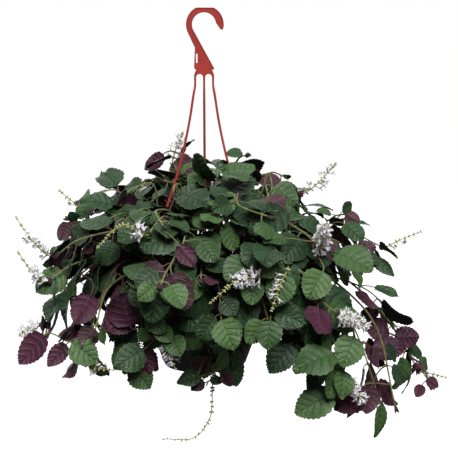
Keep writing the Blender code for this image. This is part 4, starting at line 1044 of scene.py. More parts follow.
VEIN_PAIRS = 6
BLADE_ROWS = 30
BLADE_COLUMNS = 8
BLADE_TEETH = 10
FILL_ROWS = 18
FILL_COLUMNS = 6
FILL_TEETH = 9
TIP_ROWS = 12
TIP_COLUMNS = 4
SWEEP = 0.24
TOOTH = 0.075
QUILT = 1.1 * MM
GROOVE = 0.6 * MM
KEEL = 0.5 * MM
BLADE_THICKNESS = 0.5 * MM
BLADE_NECK = 1.2 * MM
BLADE_BREADTH = 1.07
PETIOLE_SIDES = 6
STEM_SIDES = 8
STEM_SPACING = 6.0 * MM

TOP, UNDER, STEM = range(3)
STALK, BUD, PETAL = range(3)


class BladeForm:
    """The fine form of one blade: swept veins, quilting between them, a scalloped and waved margin."""

    def __init__(self, leaf, teeth, rng):
        self.leaf = leaf
        self.teeth = teeth
        self.size = leaf.length / LEAF_LENGTH
        self.width = leaf.width * BLADE_BREADTH
        self.phase = rng.uniform(0.0, 2 * math.pi)
        self.wave = rng.uniform(0.6, 3.6) * MM * self.size
        self.fold = rng.uniform(-0.06, 0.26)
        self.lean = rng.uniform(-0.05, 0.05)
        self.blunt = rng.uniform(0.50, 0.78)

    def half_width(self, station):
        """Half the blade's width at a place along the midrib: nearly round, with a blunt or a short tip."""
        return 0.5 * self.width * math.sin(math.pi * station**0.78) ** (0.54 + (self.blunt - 0.54) * station)

    def place(self, u, v, lift):
        """The point at u across, from -1 to 1, and v along the midrib, lifted off the middle surface."""
        reach = abs(u)
        edge = min(1.0, v + SWEEP * math.sin(math.pi * v))
        notch = abs(math.sin(math.pi * self.teeth * v)) ** 0.5 - 0.75
        grown = 1 + TOOTH * notch * reach**5
        station = 0.5 + (v + (edge - v) * reach**1.2 - 0.5) * grown
        width = self.half_width(edge) * (1 + self.lean * math.copysign(1.0, u))
        out = u * max(width, BLADE_NECK * (1 - 0.7 * v)) * grown
        near_midrib = math.exp(-((reach / 0.12) ** 2))
        puff = math.sin(math.pi * (v * VEIN_PAIRS % 1.0)) * min(1.0, reach / 0.2) * (1 - reach**3)
        turn = 3 * math.pi * v + self.phase + (math.pi if u < 0 else 0.0)
        rise = QUILT * self.size * puff - GROOVE * near_midrib
        fold = self.fold * abs(out) * math.sin(math.pi * v) ** 0.5
        rise += self.wave * reach * reach * math.sin(turn) + fold
        if lift < 0:
            rise -= KEEL * (1 - v) * near_midrib
        return self.leaf.at(out, station, rise + lift)


def faces_round(verts):
    """The faces that meet at any of the vertices, each once and always in the same order."""
    return list(dict.fromkeys(face for vert in verts for face in vert.link_faces))


def thin_sheet(bm, columns, rows):
    """A flat grid from -1 to 1 and a copy joined to it round the edge, as lower and upper vertices."""
    lower = bmesh.ops.create_grid(bm, x_segments=columns, y_segments=rows, size=1.0)["verts"]
    pushed = bmesh.ops.extrude_face_region(bm, geom=faces_round(lower), use_keep_orig=True)["geom"]
    return lower, [item for item in pushed if isinstance(item, bmesh.types.BMVert)]


def add_blade(bm, leaf, tone, rows, columns, teeth, rng):
    """One blade, from a grid that is given its thickness flat and is then laid on its form."""
    lower, upper = thin_sheet(bm, columns, rows)
    uv = bm.loops.layers.uv["blade"]
    for verts, index in ((lower, UNDER), (upper, TOP)):
        for face in faces_round(verts):
            face.material_index = index
            for loop in face.loops:
                loop[uv].uv = ((loop.vert.co.x + 1) / 2, (loop.vert.co.y + 1) / 2)
    layer = bm.verts.layers.float_color["tone"]
    form = BladeForm(leaf, teeth, rng)
    for verts, lift in ((upper, BLADE_THICKNESS / 2), (lower, -BLADE_THICKNESS / 2)):
        for vert in verts:
            u = math.copysign(abs(vert.co.x) ** 1.25, vert.co.x)
            vert.co = form.place(u, (vert.co.y + 1) / 2, lift)
            vert[layer] = tone


def add_tube(bm, sides, sections, place, tone_at, material):
    """A closed tube from a rolled-up grid: place gives a point by its turn and its share of the way."""
    verts = bmesh.ops.create_grid(bm, x_segments=sides, y_segments=sections, size=1.0)["verts"]
    layer = bm.verts.layers.float_color["tone"]
    for face in faces_round(verts):
        face.material_index = material
    for vert in verts:
        turn, share = (vert.co.x + 1) / 2, (vert.co.y + 1) / 2
        vert.co = place(turn, share)
        vert[layer] = tone_at(share)
    bmesh.ops.remove_doubles(bm, verts=verts, dist=0.001 * MM)
    kept = [vert for vert in verts if vert.is_valid]
    ends = dict.fromkeys(edge for vert in kept for edge in vert.link_edges if edge.is_boundary)
    bmesh.ops.edgeloop_fill(bm, edges=list(ends), mat_nr=material)


def add_stem(bm, shoot, first):
    """The square stem with rounded corners, swollen a little at each node, older towards its root."""
    route = shoot.route
    radius_at = shoot_radius(route.length)
    nodes = [distance for distance, _ in shoot.nodes]

    def place(turn, share):
        distance = first + (route.length - first) * share
        position, _, side, upper = route.frame(distance)
        angle = 2 * math.pi * turn
        across, over = math.cos(angle), math.sin(angle)
        near = min(abs(distance - node) for node in nodes)
        swelling = 1 + 0.28 * math.exp(-((near / (3 * MM)) ** 2))
        square = (across**4 + over**4) ** -0.25
        return position + (side * across + upper * over) * (radius_at(distance) * 0.84 * swelling * square)

    sections = max(4, round((route.length - first) / STEM_SPACING))
    add_tube(bm, STEM_SIDES, sections, place, lambda share: (0.5, 1 - share**1.5, 0.5, 1.0), STEM)


def add_petiole(bm, shoot, distance, leaf, tone):
    """The petiole, an arch from the stem's face into the foot of the blade."""
    socket = sum(socket_points(shoot.route, distance, leaf.face), Vector()) / 4
    _, _, side, upper = shoot.route.frame(distance)
    out = (side, upper, -side, -upper)[leaf.face]
    reach = (leaf.start - socket).length * 0.38
    a, b = socket - out * MM, socket + out * reach
    c, d = leaf.start - leaf.along * reach, leaf.start + leaf.along * 2 * MM - leaf.normal * 0.6 * MM
    thickness = MM * (0.75 + 0.25 * leaf.length / LEAF_LENGTH)

    def place(turn, share):
        left = 1 - share
        centre = a * left**3 + b * (3 * left * left * share) + c * (3 * left * share * share) + d * share**3
        way = ((b - a) * left * left + (c - b) * (2 * left * share) + (d - c) * share * share).normalized()
        over = (leaf.normal - way * leaf.normal.dot(way)).normalized()
        angle = 2 * math.pi * turn
        radius = (1.55 - 0.5 * math.sin(math.pi * share / 2)) * thickness
        return centre + (way.cross(over) * math.cos(angle) + over * (math.sin(angle) * 0.85)) * radius

    add_tube(bm, PETIOLE_SIDES, 7, place, lambda share: tone, STEM)


def add_young_pair(bm, shoot, back, spread, length, ratio, blush, rng):
    """A pair of small cupped leaves a distance back from the shoot's end."""
    position, tangent, side, _ = shoot.route.frame(shoot.route.length - back)
    first = rng.uniform(0, 90)
    for turn in (first, first + 180.0):
        across = rotated(side, tangent, turn + rng.uniform(-20, 20))
        along = (tangent + across * spread).normalized()
        normal = tangent * spread - across
        normal = (normal - along * normal.dot(along)).normalized()
        size = length * rng.uniform(0.85, 1.15)
        start = position - tangent * MM
        leaf = Leaf(start, along.cross(normal), along, normal, size, ratio * size, -0.5, 0.4, 0)
        add_blade(bm, leaf, (rng.random(), 0.0, blush, 1.0), TIP_ROWS, TIP_COLUMNS, TIP_ROWS // 2, rng)


def add_growing_tip(bm, shoot, rng):
    """Folded young leaves at the end of a shoot, or two small bracts where its flower spike starts."""
    if shoot.spike:
        purple = shoot.name == "long_right"
        add_young_pair(bm, shoot, 1 * MM, 1.3, 13 * MM, 0.95, 1.0 if purple else 0.3, rng)
        if purple:
            add_young_pair(bm, shoot, 9 * MM, 1.6, 18 * MM, 1.0, 1.0, rng)
    else:
        add_young_pair(bm, shoot, 0.0, 0.5, 16 * MM, 0.62, 0.25, rng)


def new_bmesh():
    """An empty bmesh with the layers that the plant's finishes read."""
    bm = bmesh.new()
    bm.verts.layers.float_color.new("tone")
    bm.loops.layers.uv.new("blade")
    return bm


def add_shoot(bm, shoot, rng, first=0.0):
    """The fine mesh of one shoot: stem, petioles, blades and growing tip."""
    add_stem(bm, shoot, first)
    for index, (distance, leaves) in enumerate(shoot.nodes):
        age = 1.0 - index / len(shoot.nodes)
        for leaf in leaves:
            purple = rng.uniform(0.6, 1.0) if shoot.name in PURPLE_SHOOTS else rng.random() ** 2
            tone = (rng.random(), min(1.0, max(0.0, age + rng.uniform(-0.2, 0.2))), purple, 1.0)
            if leaf.fine:
                add_blade(bm, leaf, tone, BLADE_ROWS, BLADE_COLUMNS, BLADE_TEETH, rng)
            else:
                add_blade(bm, leaf, tone, FILL_ROWS, FILL_COLUMNS, FILL_TEETH, rng)
            add_petiole(bm, shoot, distance, leaf, (tone[0], 0.25 + 0.5 * age, purple, 1.0))
    add_growing_tip(bm, shoot, rng)


# Flower spikes

SPIKE_SPACING = 7.0 * MM
WHORL_PLACES = 6
FLORET_TUBE = 8.5 * MM
STALK_END_RADIUS = 0.75 * MM
CALYX_RADIUS = 1.7 * MM
CALYX_LENGTH = 5.0 * MM
# How far each lobe of the upper lip leans to the side, and its length in mm
UPPER_LOBES = ((0.0, 7.0), (-0.9, 5.8), (0.9, 5.8))
LOBE_WIDTH = 5.2 * MM
LIP_LENGTH = 8.0 * MM
LIP_WIDTH = 5.6 * MM
STAMEN_LENGTH = 6.5 * MM
STAMEN_RADIUS = 0.22 * MM


def add_ball(bm, centre, along, radius, length, tone, material):
    """A small egg, for buds and calyces."""
    across = along.orthogonal().normalized()
    other = along.cross(across)
    turn = Matrix((across * radius, other * radius, along * length / 2)).transposed().to_4x4()
    made = bmesh.ops.create_uvsphere(bm, u_segments=7, v_segments=5, radius=1.0,
                                     matrix=Matrix.Translation(centre) @ turn)
    layer = bm.verts.layers.float_color["tone"]
    for vert in made["verts"]:
        vert[layer] = tone
    for face in faces_round(made["verts"]):
        face.material_index = material


def add_petal(bm, base, along, normal, length, width, droop, cup, tone):
    """One lobe of a floret's lip."""
    leaf = Leaf(base, along.cross(normal), along, normal, length, width, droop, cup, 0)
    lower, upper = thin_sheet(bm, 4, 4)
    for face in faces_round(lower + upper):
        face.material_index = PETAL
    layer = bm.verts.layers.float_color["tone"]
    for verts, lift in ((upper, 0.15 * MM), (lower, -0.15 * MM)):
        for vert in verts:
            u, v = vert.co.x, (vert.co.y + 1) / 2
            out = u * max(leaf.half_width(v**0.9), 0.35 * width * (1 - v))
            vert.co = leaf.at(out, v, lift)
            vert[layer] = tone


def add_floret(bm, root, out, tangent, size, rng):
    """A two-lipped floret: calyx, a bent tube, an upper lip of three lobes and a longer lower one."""
    lilac = (rng.random(), rng.random(), 0.0, 1.0)
    calyx = (rng.random(), 0.4, 0.5, 1.0)
    add_ball(bm, root + out * 1.6 * MM, out, CALYX_RADIUS * size, CALYX_LENGTH, calyx, BUD)
    across = tangent.cross(out).normalized()
    upward = out.cross(across).normalized()
    if upward.dot(tangent) < 0:
        upward = -upward
    length = FLORET_TUBE * size

    def place(turn, share):
        bend = math.sin(share * 1.3) * 0.25
        centre = root + out * (1.5 * MM + length * share) + upward * (length * bend * (share - 0.55))
        return centre + turned(across, upward, turn) * ((0.95 + 1.55 * share**2) * MM * size)

    add_tube(bm, 8, 5, place, lambda share: lilac, PETAL)
    mouth = root + out * (1.5 * MM + length) + upward * (length * 0.11)
    for lean, reach in UPPER_LOBES:
        along = (upward * 1.0 + out * 0.45 + across * lean).normalized()
        normal = (upward * 0.45 - out).normalized() * -1
        normal = (normal - along * normal.dot(along)).normalized()
        foot = mouth + upward * 1.0 * MM * size + across * lean * 0.9 * MM * size
        add_petal(bm, foot, along, normal, reach * MM * size, LOBE_WIDTH * size, -0.5, 0.1, lilac)
    along = (out + upward * -0.25).normalized()
    normal = (upward - along * upward.dot(along)).normalized()
    foot = mouth - upward * 1.3 * MM * size
    add_petal(bm, foot, along, normal, LIP_LENGTH * size, LIP_WIDTH * size, 0.3, 0.5, lilac)
    for lean in (-0.25, 0.25):
        end = mouth + (out + across * lean - upward * 0.1) * STAMEN_LENGTH * size

        def stamen(turn, share):
            return mouth.lerp(end, share) + turned(across, upward, turn) * STAMEN_RADIUS

        add_tube(bm, 3, 3, stamen, lambda share: (0.5, 1.0, 0.0, 1.0), PETAL)


def add_spike(bm, route, bloom, rng):
    """The fine mesh of one spike: its stalk, and whorls of open florets and of buds."""
    def place(turn, share):
        position, _, side, upper = route.frame(route.length * share)
        return position + turned(side, upper, turn) * (TIP_RADIUS + (STALK_END_RADIUS - TIP_RADIUS) * share)

    open_share, first_open, last_open, fullness = bloom
    add_tube(bm, 6, max(6, round(route.length / (5 * MM))), place, lambda share: (0.5, 0.2, 0.3, 1.0), STALK)
    count = max(6, round(route.length * 0.88 / SPIKE_SPACING))
    for whorl in range(count):
        share = 0.12 + 0.88 * (whorl / (count - 1)) ** 0.85 + rng.uniform(-0.3, 0.3) / count
        share = min(1.0, share)
        position, tangent, side, _ = route.frame(route.length * share)
        scale = 1 - 0.30 * share
        turn = 90.0 * (whorl % 2) + rng.uniform(-15, 15)
        for k in range(WHORL_PLACES):
            out = rotated(side, tangent, turn + 360 // WHORL_PLACES * k + rng.uniform(-14, 14))
            rise = rng.uniform(0.15, 0.55) if share < 0.75 else 0.8
            way = (out + tangent * rise - UP * 0.1).normalized()
            if rng.random() > fullness:
                continue
            if first_open <= share <= last_open and rng.random() < open_share:
                add_floret(bm, position + out * 0.6 * MM, way, tangent, scale * rng.uniform(0.95, 1.15), rng)
            else:
                length = (5.8 - 2.8 * share) * MM * rng.uniform(0.75, 1.15)
                tone = (rng.random(), share, rng.random(), 1.0)
                add_ball(bm, position + way * (0.6 * MM + length / 2), way, 0.33 * length, length, tone, BUD)
    position, tangent, _, _ = route.frame(route.length)
    add_ball(bm, position + tangent * 1.0 * MM, tangent, 1.3 * MM, 4.0 * MM, (0.5, 1.0, 0.5, 1.0), BUD)


# Hanger, pot and soil

HOOK_ARC_STEPS = 44
HEAD_EDGE = 0.7 * MM
HEAD_RIM = 0.7 * MM
HEAD_RECESS = 0.9 * MM
STRAND_SWELL = 0.2
SLIT_PLACE = (-0.0122, 0.0, -0.0760)
SLIT_SIZE = (0.0025, 0.0200, 0.0150)
POT_STEPS = 96
SLOT_CUT = 0.012
SOIL_RINGS = 16
CRUMBS = 260
CRUMB_SEED = 4
CRUMB_REACH = 0.108


def hook_outline():
    """The hook and its head as one flat outline in X and Z, clockwise from the crown's flat top."""
    def arc(radius, first, last, steps, offset=0.0):
        angles = [math.radians(first + (last - first) * i / steps) for i in range(steps + 1)]
        return [(offset + radius * math.cos(a), radius * math.sin(a) - HOOK_INNER_RADIUS) for a in angles]

    def arch(middle):
        angles = [math.radians(180 * i / 12) for i in range(13)]
        top = SHOULDER_Z - 8 * MM - arch_radius
        return [(middle + arch_radius * math.cos(a), top + arch_radius * math.sin(a)) for a in angles]

    flat = math.degrees(math.asin((CROWN_THICKNESS + HOOK_INNER_RADIUS) / HOOK_OUTER_RADIUS))
    outer_right = arc(HOOK_OUTER_RADIUS, flat, -8, 20, HOOK_OFFSET)
    tip = [(0.0320, -0.0270), (0.0312, -0.0282), (0.0300, -0.0287), (0.0284, -0.0283), (0.0268, -0.0272)]
    inner = arc(HOOK_INNER_RADIUS, INNER_ARC_START, INNER_ARC_END, HOOK_ARC_STEPS)
    right_neck = [(x, SHOULDER_Z + z * MM) for x, z in ((0.0172, 1), (0.0150, -1.5), (0.0128, -0.5))]
    right_leg = [
        (0.0148, SHOULDER_Z - 4 * MM),
        (LEG_OFFSET + LEG_WIDTH / 2, SHOULDER_Z - 10 * MM),
        (LEG_OFFSET + LEG_WIDTH / 2, HEAD_BOTTOM_Z),
        (LEG_OFFSET - LEG_WIDTH / 2, HEAD_BOTTOM_Z),
    ]
    left_leg = [(-x, z) for x, z in reversed(right_leg)]
    arch_radius = (LEG_OFFSET - LEG_WIDTH) / 2
    middle_leg = [(LEG_WIDTH / 2, HEAD_BOTTOM_Z), (-LEG_WIDTH / 2, HEAD_BOTTOM_Z)]
    left_neck = [
        (-0.0128, SHOULDER_Z - 0.5 * MM),
        (-0.0150, SHOULDER_Z - 1 * MM),
        (-0.0168, SHOULDER_Z + 3 * MM),
        (-0.0152, -0.0585),
    ]
    outer_left = arc(HOOK_OUTER_RADIUS, 205, 180 - flat, 26, HOOK_OFFSET)
    right_side = outer_right + tip + inner + right_neck + right_leg + arch(LEG_OFFSET / 2)
    return right_side + middle_leg + arch(-LEG_OFFSET / 2) + left_leg + left_neck + outer_left


def add_strand(bm, name):
    """One strand with rounded corners, from inside the head's leg down through its slot, and its barb."""
    route = strand_route(name)
    start = -4 * MM
    first = route.frame(0.0)[0]

    def place(turn, share):
        distance = start + (route.length + 2 * MM - start) * share
        position, tangent, side, _ = route.frame(distance)
        if distance < 0:
            position = first + UP * -distance
        elif distance > route.length:
            position = position + tangent * (distance - route.length)
        blend = min(1.0, max(0.0, distance / STRAND_TURN))
        side = side.lerp(Vector((1.0, 0.0, 0.0)) * math.copysign(1.0, side.x or 1.0), 1 - blend).normalized()
        over = side.cross(tangent)
        angle = 2 * math.pi * (turn + 1 / 16)
        a, b = math.cos(angle), math.sin(angle)
        square = (abs(a) ** 5 + abs(b) ** 5) ** -0.2
        full = (1 + STRAND_SWELL * blend) * square / 2
        return position + (side * (a * STRAND_WIDTH) + over * (b * STRAND_DEPTH)) * full

    add_tube(bm, 12, 56, place, lambda share: (0.5, share, 0.5, 1.0), 0)
    end = route.frame(route.length)[0]
    outward = Vector((end.x, end.y, 0.0)).normalized()
    along = outward.cross(UP).normalized()
    made = bmesh.ops.create_cube(bm, size=1.0)["verts"]
    for vert in made:
        low = vert.co.z < 0
        width, depth = (BARB_TIP_WIDTH, BARB_TIP_DEPTH) if low else (BARB_WIDTH, BARB_DEPTH)
        at = end + UP * (-0.2 * MM - (BARB_HEIGHT if low else 0.0))
        vert.co = at + along * (vert.co.x * width) + outward * (vert.co.y * depth)
    edges = list(dict.fromkeys(edge for vert in made for edge in vert.link_edges))
    bmesh.ops.bevel(bm, geom=edges, offset=0.5 * MM, segments=2, profile=0.5, affect="EDGES", material=-1)


def head_mesh():
    """The flat moulded hook with its head, whose two faces have a raised rim."""
    bm = new_bmesh()
    verts = [bm.verts.new((x, -PLATE / 2, z)) for x, z in hook_outline()]
    plate = bm.faces.new(verts)
    pushed = bmesh.ops.extrude_face_region(bm, geom=[plate], use_keep_orig=True)["geom"]
    moved = [item for item in pushed if isinstance(item, bmesh.types.BMVert)]
    bmesh.ops.translate(bm, verts=moved, vec=(0.0, PLATE, 0.0))
    rims = [edge for edge in bm.edges if len(edge.link_faces) == 2 and edge.calc_face_angle(0.0) > 1.2
            and abs(edge.verts[0].co.y - edge.verts[1].co.y) < MM]
    bmesh.ops.bevel(bm, geom=rims, offset=HEAD_EDGE, segments=3, profile=0.5, affect="EDGES", material=-1)
    for plate in sorted(bm.faces, key=lambda face: face.calc_area())[-2:]:
        for width, depth in ((HEAD_RIM, 0.0), (HEAD_RIM / 3, -HEAD_RECESS)):
            bmesh.ops.inset_region(bm, faces=[plate], thickness=width, depth=depth, use_even_offset=True)
    bmesh.ops.recalc_face_normals(bm, faces=bm.faces[:])
    return bm


def hanger_mesh():
    """The hook and its head, with the slit beside the arm, and the three strands."""
    head = plain_object("head_moulded", head_mesh())
    cut_away(head, [block("slit", SLIT_PLACE, SLIT_SIZE, 0.0)])
    bm = bmesh.new()
    bm.from_mesh(head.data)
    bpy.data.objects.remove(head, do_unlink=True)
    for name in LUG_ANGLES:
        add_strand(bm, name)
    bmesh.ops.recalc_face_normals(bm, faces=bm.faces[:])
    return bm


def pot_profile():
    """Radius and height from the middle of the foot, up the outside, over the rim and down the inside."""
    bowl = bowl_profile(BOWL_RINGS)
    band_low, flange_low = RIM_Z - RIM_BAND_HEIGHT, RIM_Z - FLANGE_THICKNESS

    def edge(radius, height, steps):
        return [(radius + out * MM, height + up * MM) for out, up in steps]

    foot = edge(BASE_RADIUS, POT_BASE_Z, ((-5, 3), (-4, 0.6), (-3, 0), (-0.8, 0), (0, 0.8), (0.4, 4)))
    band = edge(RIM_BAND_RADIUS, band_low, ((-0.8, 0.2), (0, 1.2)))
    band += edge(RIM_BAND_RADIUS, flange_low, ((0, -1.2), (1, 0)))
    flange = edge(FLANGE_RADIUS, flange_low, ((-1.2, 0), (0, 1.2)))
    flange += edge(FLANGE_RADIUS, RIM_Z, ((0, -1), (-1, 0)))
    lip = edge(BOWL_TOP_RADIUS, RIM_Z, ((1, 0), (0, -1)))
    inside = [(radius - WALL, z) for radius, z in bowl[::-1][:-1]]
    floor = [(BASE_RADIUS + 1 * MM, POT_BASE_Z + 2 * FOOT_HEIGHT), (0.0, POT_BASE_Z + 2 * FOOT_HEIGHT)]
    return [(0.0, POT_BASE_Z + FOOT_HEIGHT), *foot, *bowl, *band, *flange, *lip, *inside, *floor]


def spun_mesh(profile, steps):
    """A closed body of revolution about the pot's axis."""
    bm = new_bmesh()
    verts = [bm.verts.new((radius, 0.0, z)) for radius, z in profile]
    edges = [bm.edges.new(pair) for pair in zip(verts, verts[1:])]
    bmesh.ops.spin(bm, geom=verts + edges, cent=(0, 0, 0), axis=(0, 0, 1), angle=2 * math.pi, steps=steps,
                   use_merge=True)
    bmesh.ops.remove_doubles(bm, verts=bm.verts[:], dist=0.01 * MM)
    bmesh.ops.recalc_face_normals(bm, faces=bm.faces[:])
    return bm


def block(name, centre, size, degrees):
    """A box that cuts a slot."""
    bm = bmesh.new()
    turn = Matrix.Translation(centre) @ Matrix.Rotation(math.radians(degrees), 4, "Z")
    bmesh.ops.create_cube(bm, size=1.0, matrix=turn @ Matrix.Diagonal((*size, 1.0)))
    return plain_object(name, bm)


def drill(name, centre):
    """A cylinder that cuts one of the drain holes."""
    bm = bmesh.new()
    bmesh.ops.create_cone(bm, cap_ends=True, segments=24, radius1=DRAIN_RADIUS, radius2=DRAIN_RADIUS,
                          depth=0.03, matrix=Matrix.Translation(centre))
    return plain_object(name, bm)


def plain_object(name, bm):
    """A new object in the scene with the bmesh's form."""
    mesh = bpy.data.meshes.new(name)
    bm.to_mesh(mesh)
    bm.free()
    target = bpy.data.objects.new(name, mesh)
    bpy.context.scene.collection.objects.link(target)
    return target


def cut_away(target, cutters):
    """Takes the cutters' volumes off the target, and the cutters out of the scene."""
    for cutter in cutters:
        modifier = target.modifiers.new("cut", "BOOLEAN")
        modifier.operation = "DIFFERENCE"
        modifier.solver = "EXACT"
        modifier.object = cutter
    bpy.context.view_layer.update()
    shaped = bpy.data.meshes.new_from_object(target.evaluated_get(bpy.context.evaluated_depsgraph_get()))
    if not shaped.polygons:
        raise RuntimeError(f"Nothing was left of {target.name} after its cuts")
    target.modifiers.clear()
    target.data = shaped
    for cutter in cutters:
        bpy.data.objects.remove(cutter, do_unlink=True)


def soil_mesh():
    """The soil as a full body whose top is uneven."""
    profile = bowl_profile()
    low_radius = profile[0][0] - WALL - 1 * MM
    top_radius = BOWL_TOP_RADIUS - WALL - 0.4 * MM
    top = [(top_radius * i / SOIL_RINGS, SOIL_TOP) for i in range(SOIL_RINGS + 1)]
    side = [(low_radius, profile[0][1] + 2 * MM), (0.0, profile[0][1] + 2 * MM)]
    bm = spun_mesh(top + side, 64)
    for vert in bm.verts:
        if vert.co.z > SOIL_TOP - MM:
            edge = min(1.0, (top_radius - vert.co.xy.length) / (8 * MM))
            clods, grains = noise.noise(vert.co * 60), noise.noise(vert.co * 240)
            vert.co.z += 2.4 * MM * edge * clods + 1.0 * MM * edge * grains
    return bm


def crumbs_mesh(rng):
    """Loose crumbs of soil and bark that lie on the top."""
    bm = new_bmesh()
    for _ in range(CRUMBS):
        radius, direction = CRUMB_REACH * math.sqrt(rng.random()), rng.uniform(0, 360)
        place = polar(radius, direction, SOIL_TOP + rng.uniform(-0.5, 0.8) * MM)
        squashes = (1.0, rng.uniform(0.5, 1.0), rng.uniform(0.35, 0.7))
        size = [rng.uniform(1.0, 3.4) * MM * squash for squash in squashes]
        swing, lean = rng.uniform(0, math.pi), rng.uniform(-0.5, 0.5)
        turn = Matrix.Rotation(swing, 4, "Z") @ Matrix.Rotation(lean, 4, "X")
        matrix = Matrix.Translation(place) @ turn @ Matrix.Diagonal((*size, 1.0))
        bmesh.ops.create_icosphere(bm, subdivisions=1, radius=1.0, matrix=matrix)
    return bm


# Finishes

class Number:
    """A shader socket that carries a number, so that sums on it read as plain expressions."""

    def __init__(self, shader, socket):
        self.shader = shader
        self.socket = socket

    def math(self, operation, *values):
        """A Math node on this number, with up to two more values."""
        return self.shader.add("ShaderNodeMath", {"operation": operation}, dict(enumerate((self, *values))))

    def __add__(self, other):
        return self.math("ADD", other)

    def __sub__(self, other):
        return self.math("SUBTRACT", other)

    def __rsub__(self, other):
        return self.shader.add("ShaderNodeMath", {"operation": "SUBTRACT"}, {0: other, 1: self})

    def __mul__(self, other):
        return self.math("MULTIPLY", other)

    __radd__ = __add__
    __rmul__ = __mul__

    def rise(self, low, high):
        """From 0 at low to 1 at high, smoothly."""
        inputs = {"Value": self, "From Min": low, "From Max": high}
        return self.shader.add("ShaderNodeMapRange", {"interpolation_type": "SMOOTHSTEP"}, inputs)


class Finish:
    """A material under construction: its nodes, and the surface shader that they feed."""

    def __init__(self, name, **fixed):
        self.material = bpy.data.materials.new(name)
        self.material.use_nodes = True
        self.tree = self.material.node_tree
        self.surface = self.tree.nodes["Principled BSDF"]
        for socket, value in fixed.items():
            self.surface.inputs[socket.replace("_", " ")].default_value = value
        self.place = self.add("ShaderNodeTexCoord", output="Object")

    def add(self, kind, settings=None, inputs=None, output=0):
        """One node: its settings first, then its sockets' values or links. Gives one of its outputs."""
        node = self.tree.nodes.new(kind)
        for name, value in (settings or {}).items():
            setattr(node, name, value)
        for key, value in (inputs or {}).items():
            if isinstance(value, Number):
                self.tree.links.new(value.socket, node.inputs[key])
            else:
                node.inputs[key].default_value = value
        return Number(self, node.outputs[output])

    def tone(self):
        """The piece's own numbers at each point: chance, age and blush."""
        colour = self.add("ShaderNodeAttribute", {"attribute_name": "tone"}, output="Color")
        parts = ("Red", "Green", "Blue")
        return [self.add("ShaderNodeSeparateColor", None, {"Color": colour}, part) for part in parts]

    def blade_place(self):
        """Where a point lies on its blade: across from 0 to 1, and along from 0 to 1."""
        uv = self.add("ShaderNodeUVMap", {"uv_map": "blade"})
        return [self.add("ShaderNodeSeparateXYZ", None, {"Vector": uv}, axis) for axis in ("X", "Y")]

    def noise(self, scale, detail, roughness=0.55):
        inputs = {"Vector": self.place, "Scale": scale, "Detail": detail, "Roughness": roughness}
        return self.add("ShaderNodeTexNoise", None, inputs)

    def cells(self, scale, feature="F1"):
        return self.add("ShaderNodeTexVoronoi", {"feature": feature}, {"Vector": self.place, "Scale": scale})

    def mix(self, share, first, second):
        """A colour between two, by a share from 0 to 1."""
        settings = {"data_type": "RGBA", "clamp_factor": True}
        values = [value if isinstance(value, Number) else (*value, 1.0) for value in (first, second)]
        return self.add("ShaderNodeMix", settings, {0: share, 6: values[0], 7: values[1]}, 2)

    def feed(self, socket, value):
        self.tree.links.new(value.socket, self.surface.inputs[socket])

    def surfaced(self, colour, roughness, height, distance, strength):
        """The material, with a colour, a roughness and a bump of a height from 0 to 1 over a distance."""
        self.feed("Base Color", colour)
        self.feed("Roughness", roughness)
        inputs = {"Height": height, "Distance": distance, "Strength": strength}
        self.feed("Normal", self.add("ShaderNodeBump", None, inputs))
        return self.material


def vein_masks(finish):
    """How near a point is to a side vein and to the midrib, and how near to the margin."""
    across, along = finish.blade_place()
    reach = (across * 2 - 1).math("ABSOLUTE")
    row = ((along * VEIN_PAIRS + 0.5).math("FRACT") - 0.5).math("ABSOLUTE")
    side = (1 - row.rise(0.02, 0.16)) * (1 - reach.rise(0.70, 0.98))
    midrib = 1 - reach.rise(0.02, 0.10)
    return side.math("MAXIMUM", midrib), reach


def leaf_top_finish(plant):
    finish = Finish("leaf_top", Specular_IOR_Level=0.34)
    chance, age, blush = finish.tone()
    vein, reach = vein_masks(finish)
    patches = finish.noise(30.0, 4.0)
    net = finish.cells(390.0, "SMOOTH_F1").rise(0.15, 0.75)
    fine = finish.noise(700.0, 3.0, 0.6)
    share = chance * chance * 0.80 + patches.rise(0.35, 0.68) * 0.20
    grown = finish.mix(share, plant.leaf_deep_and_shade, plant.leaf_fresh)
    young = finish.mix(age.rise(0.10, 0.62), plant.leaf_young, grown)
    # Painted highlight: the puffed places between the veins and creases are painted lighter.
    crest_highlit = finish.mix((1 - vein) * (1 - net) * 0.20, young, plant.leaf_margin_and_highlight)
    # Painted shade: the net of creases between the puffs is painted darker.
    crease_shaded = finish.mix(net * 0.30, crest_highlit, plant.leaf_deep_and_shade)
    # Painted shade: the sunken veins are painted darker.
    vein_shaded = finish.mix(vein * 0.34, crease_shaded, plant.leaf_vein_shade)
    edged = finish.mix(reach.rise(0.93, 1.0) * 0.40, vein_shaded, plant.leaf_margin_and_highlight)
    rimmed = finish.mix(reach.rise(0.84, 1.0) * blush.rise(0.55, 1.0) * 0.6, edged, plant.plum_dark)
    relief = (1 - net) * 0.36 + (1 - vein) * 0.50 + fine * 0.14
    return finish.surfaced(rimmed, 0.36 + patches * 0.16 + net * 0.16, relief, 1.2 * MM, 0.9)


def leaf_under_finish(plant):
    finish = Finish("leaf_under", Specular_IOR_Level=0.28, Sheen_Weight=0.05)
    chance, _, blush = finish.tone()
    vein, _ = vein_masks(finish)
    patches = finish.noise(45.0, 4.0)
    net = 1 - finish.cells(390.0, "SMOOTH_F1").rise(0.15, 0.75)
    plum = finish.mix(patches.rise(0.30, 0.70) * 0.6 + chance * 0.4, plant.plum_dark, plant.plum)
    body = finish.mix((1 - blush).rise(0.80, 1.0) * 0.2, plum, plant.under_green)
    veined = finish.mix(vein * 0.26 + (1 - net) * 0.10, body, plant.under_vein)
    return finish.surfaced(veined, 0.46 + patches * 0.16, vein * 0.55 + (1 - net) * 0.45, 0.8 * MM, 0.85)


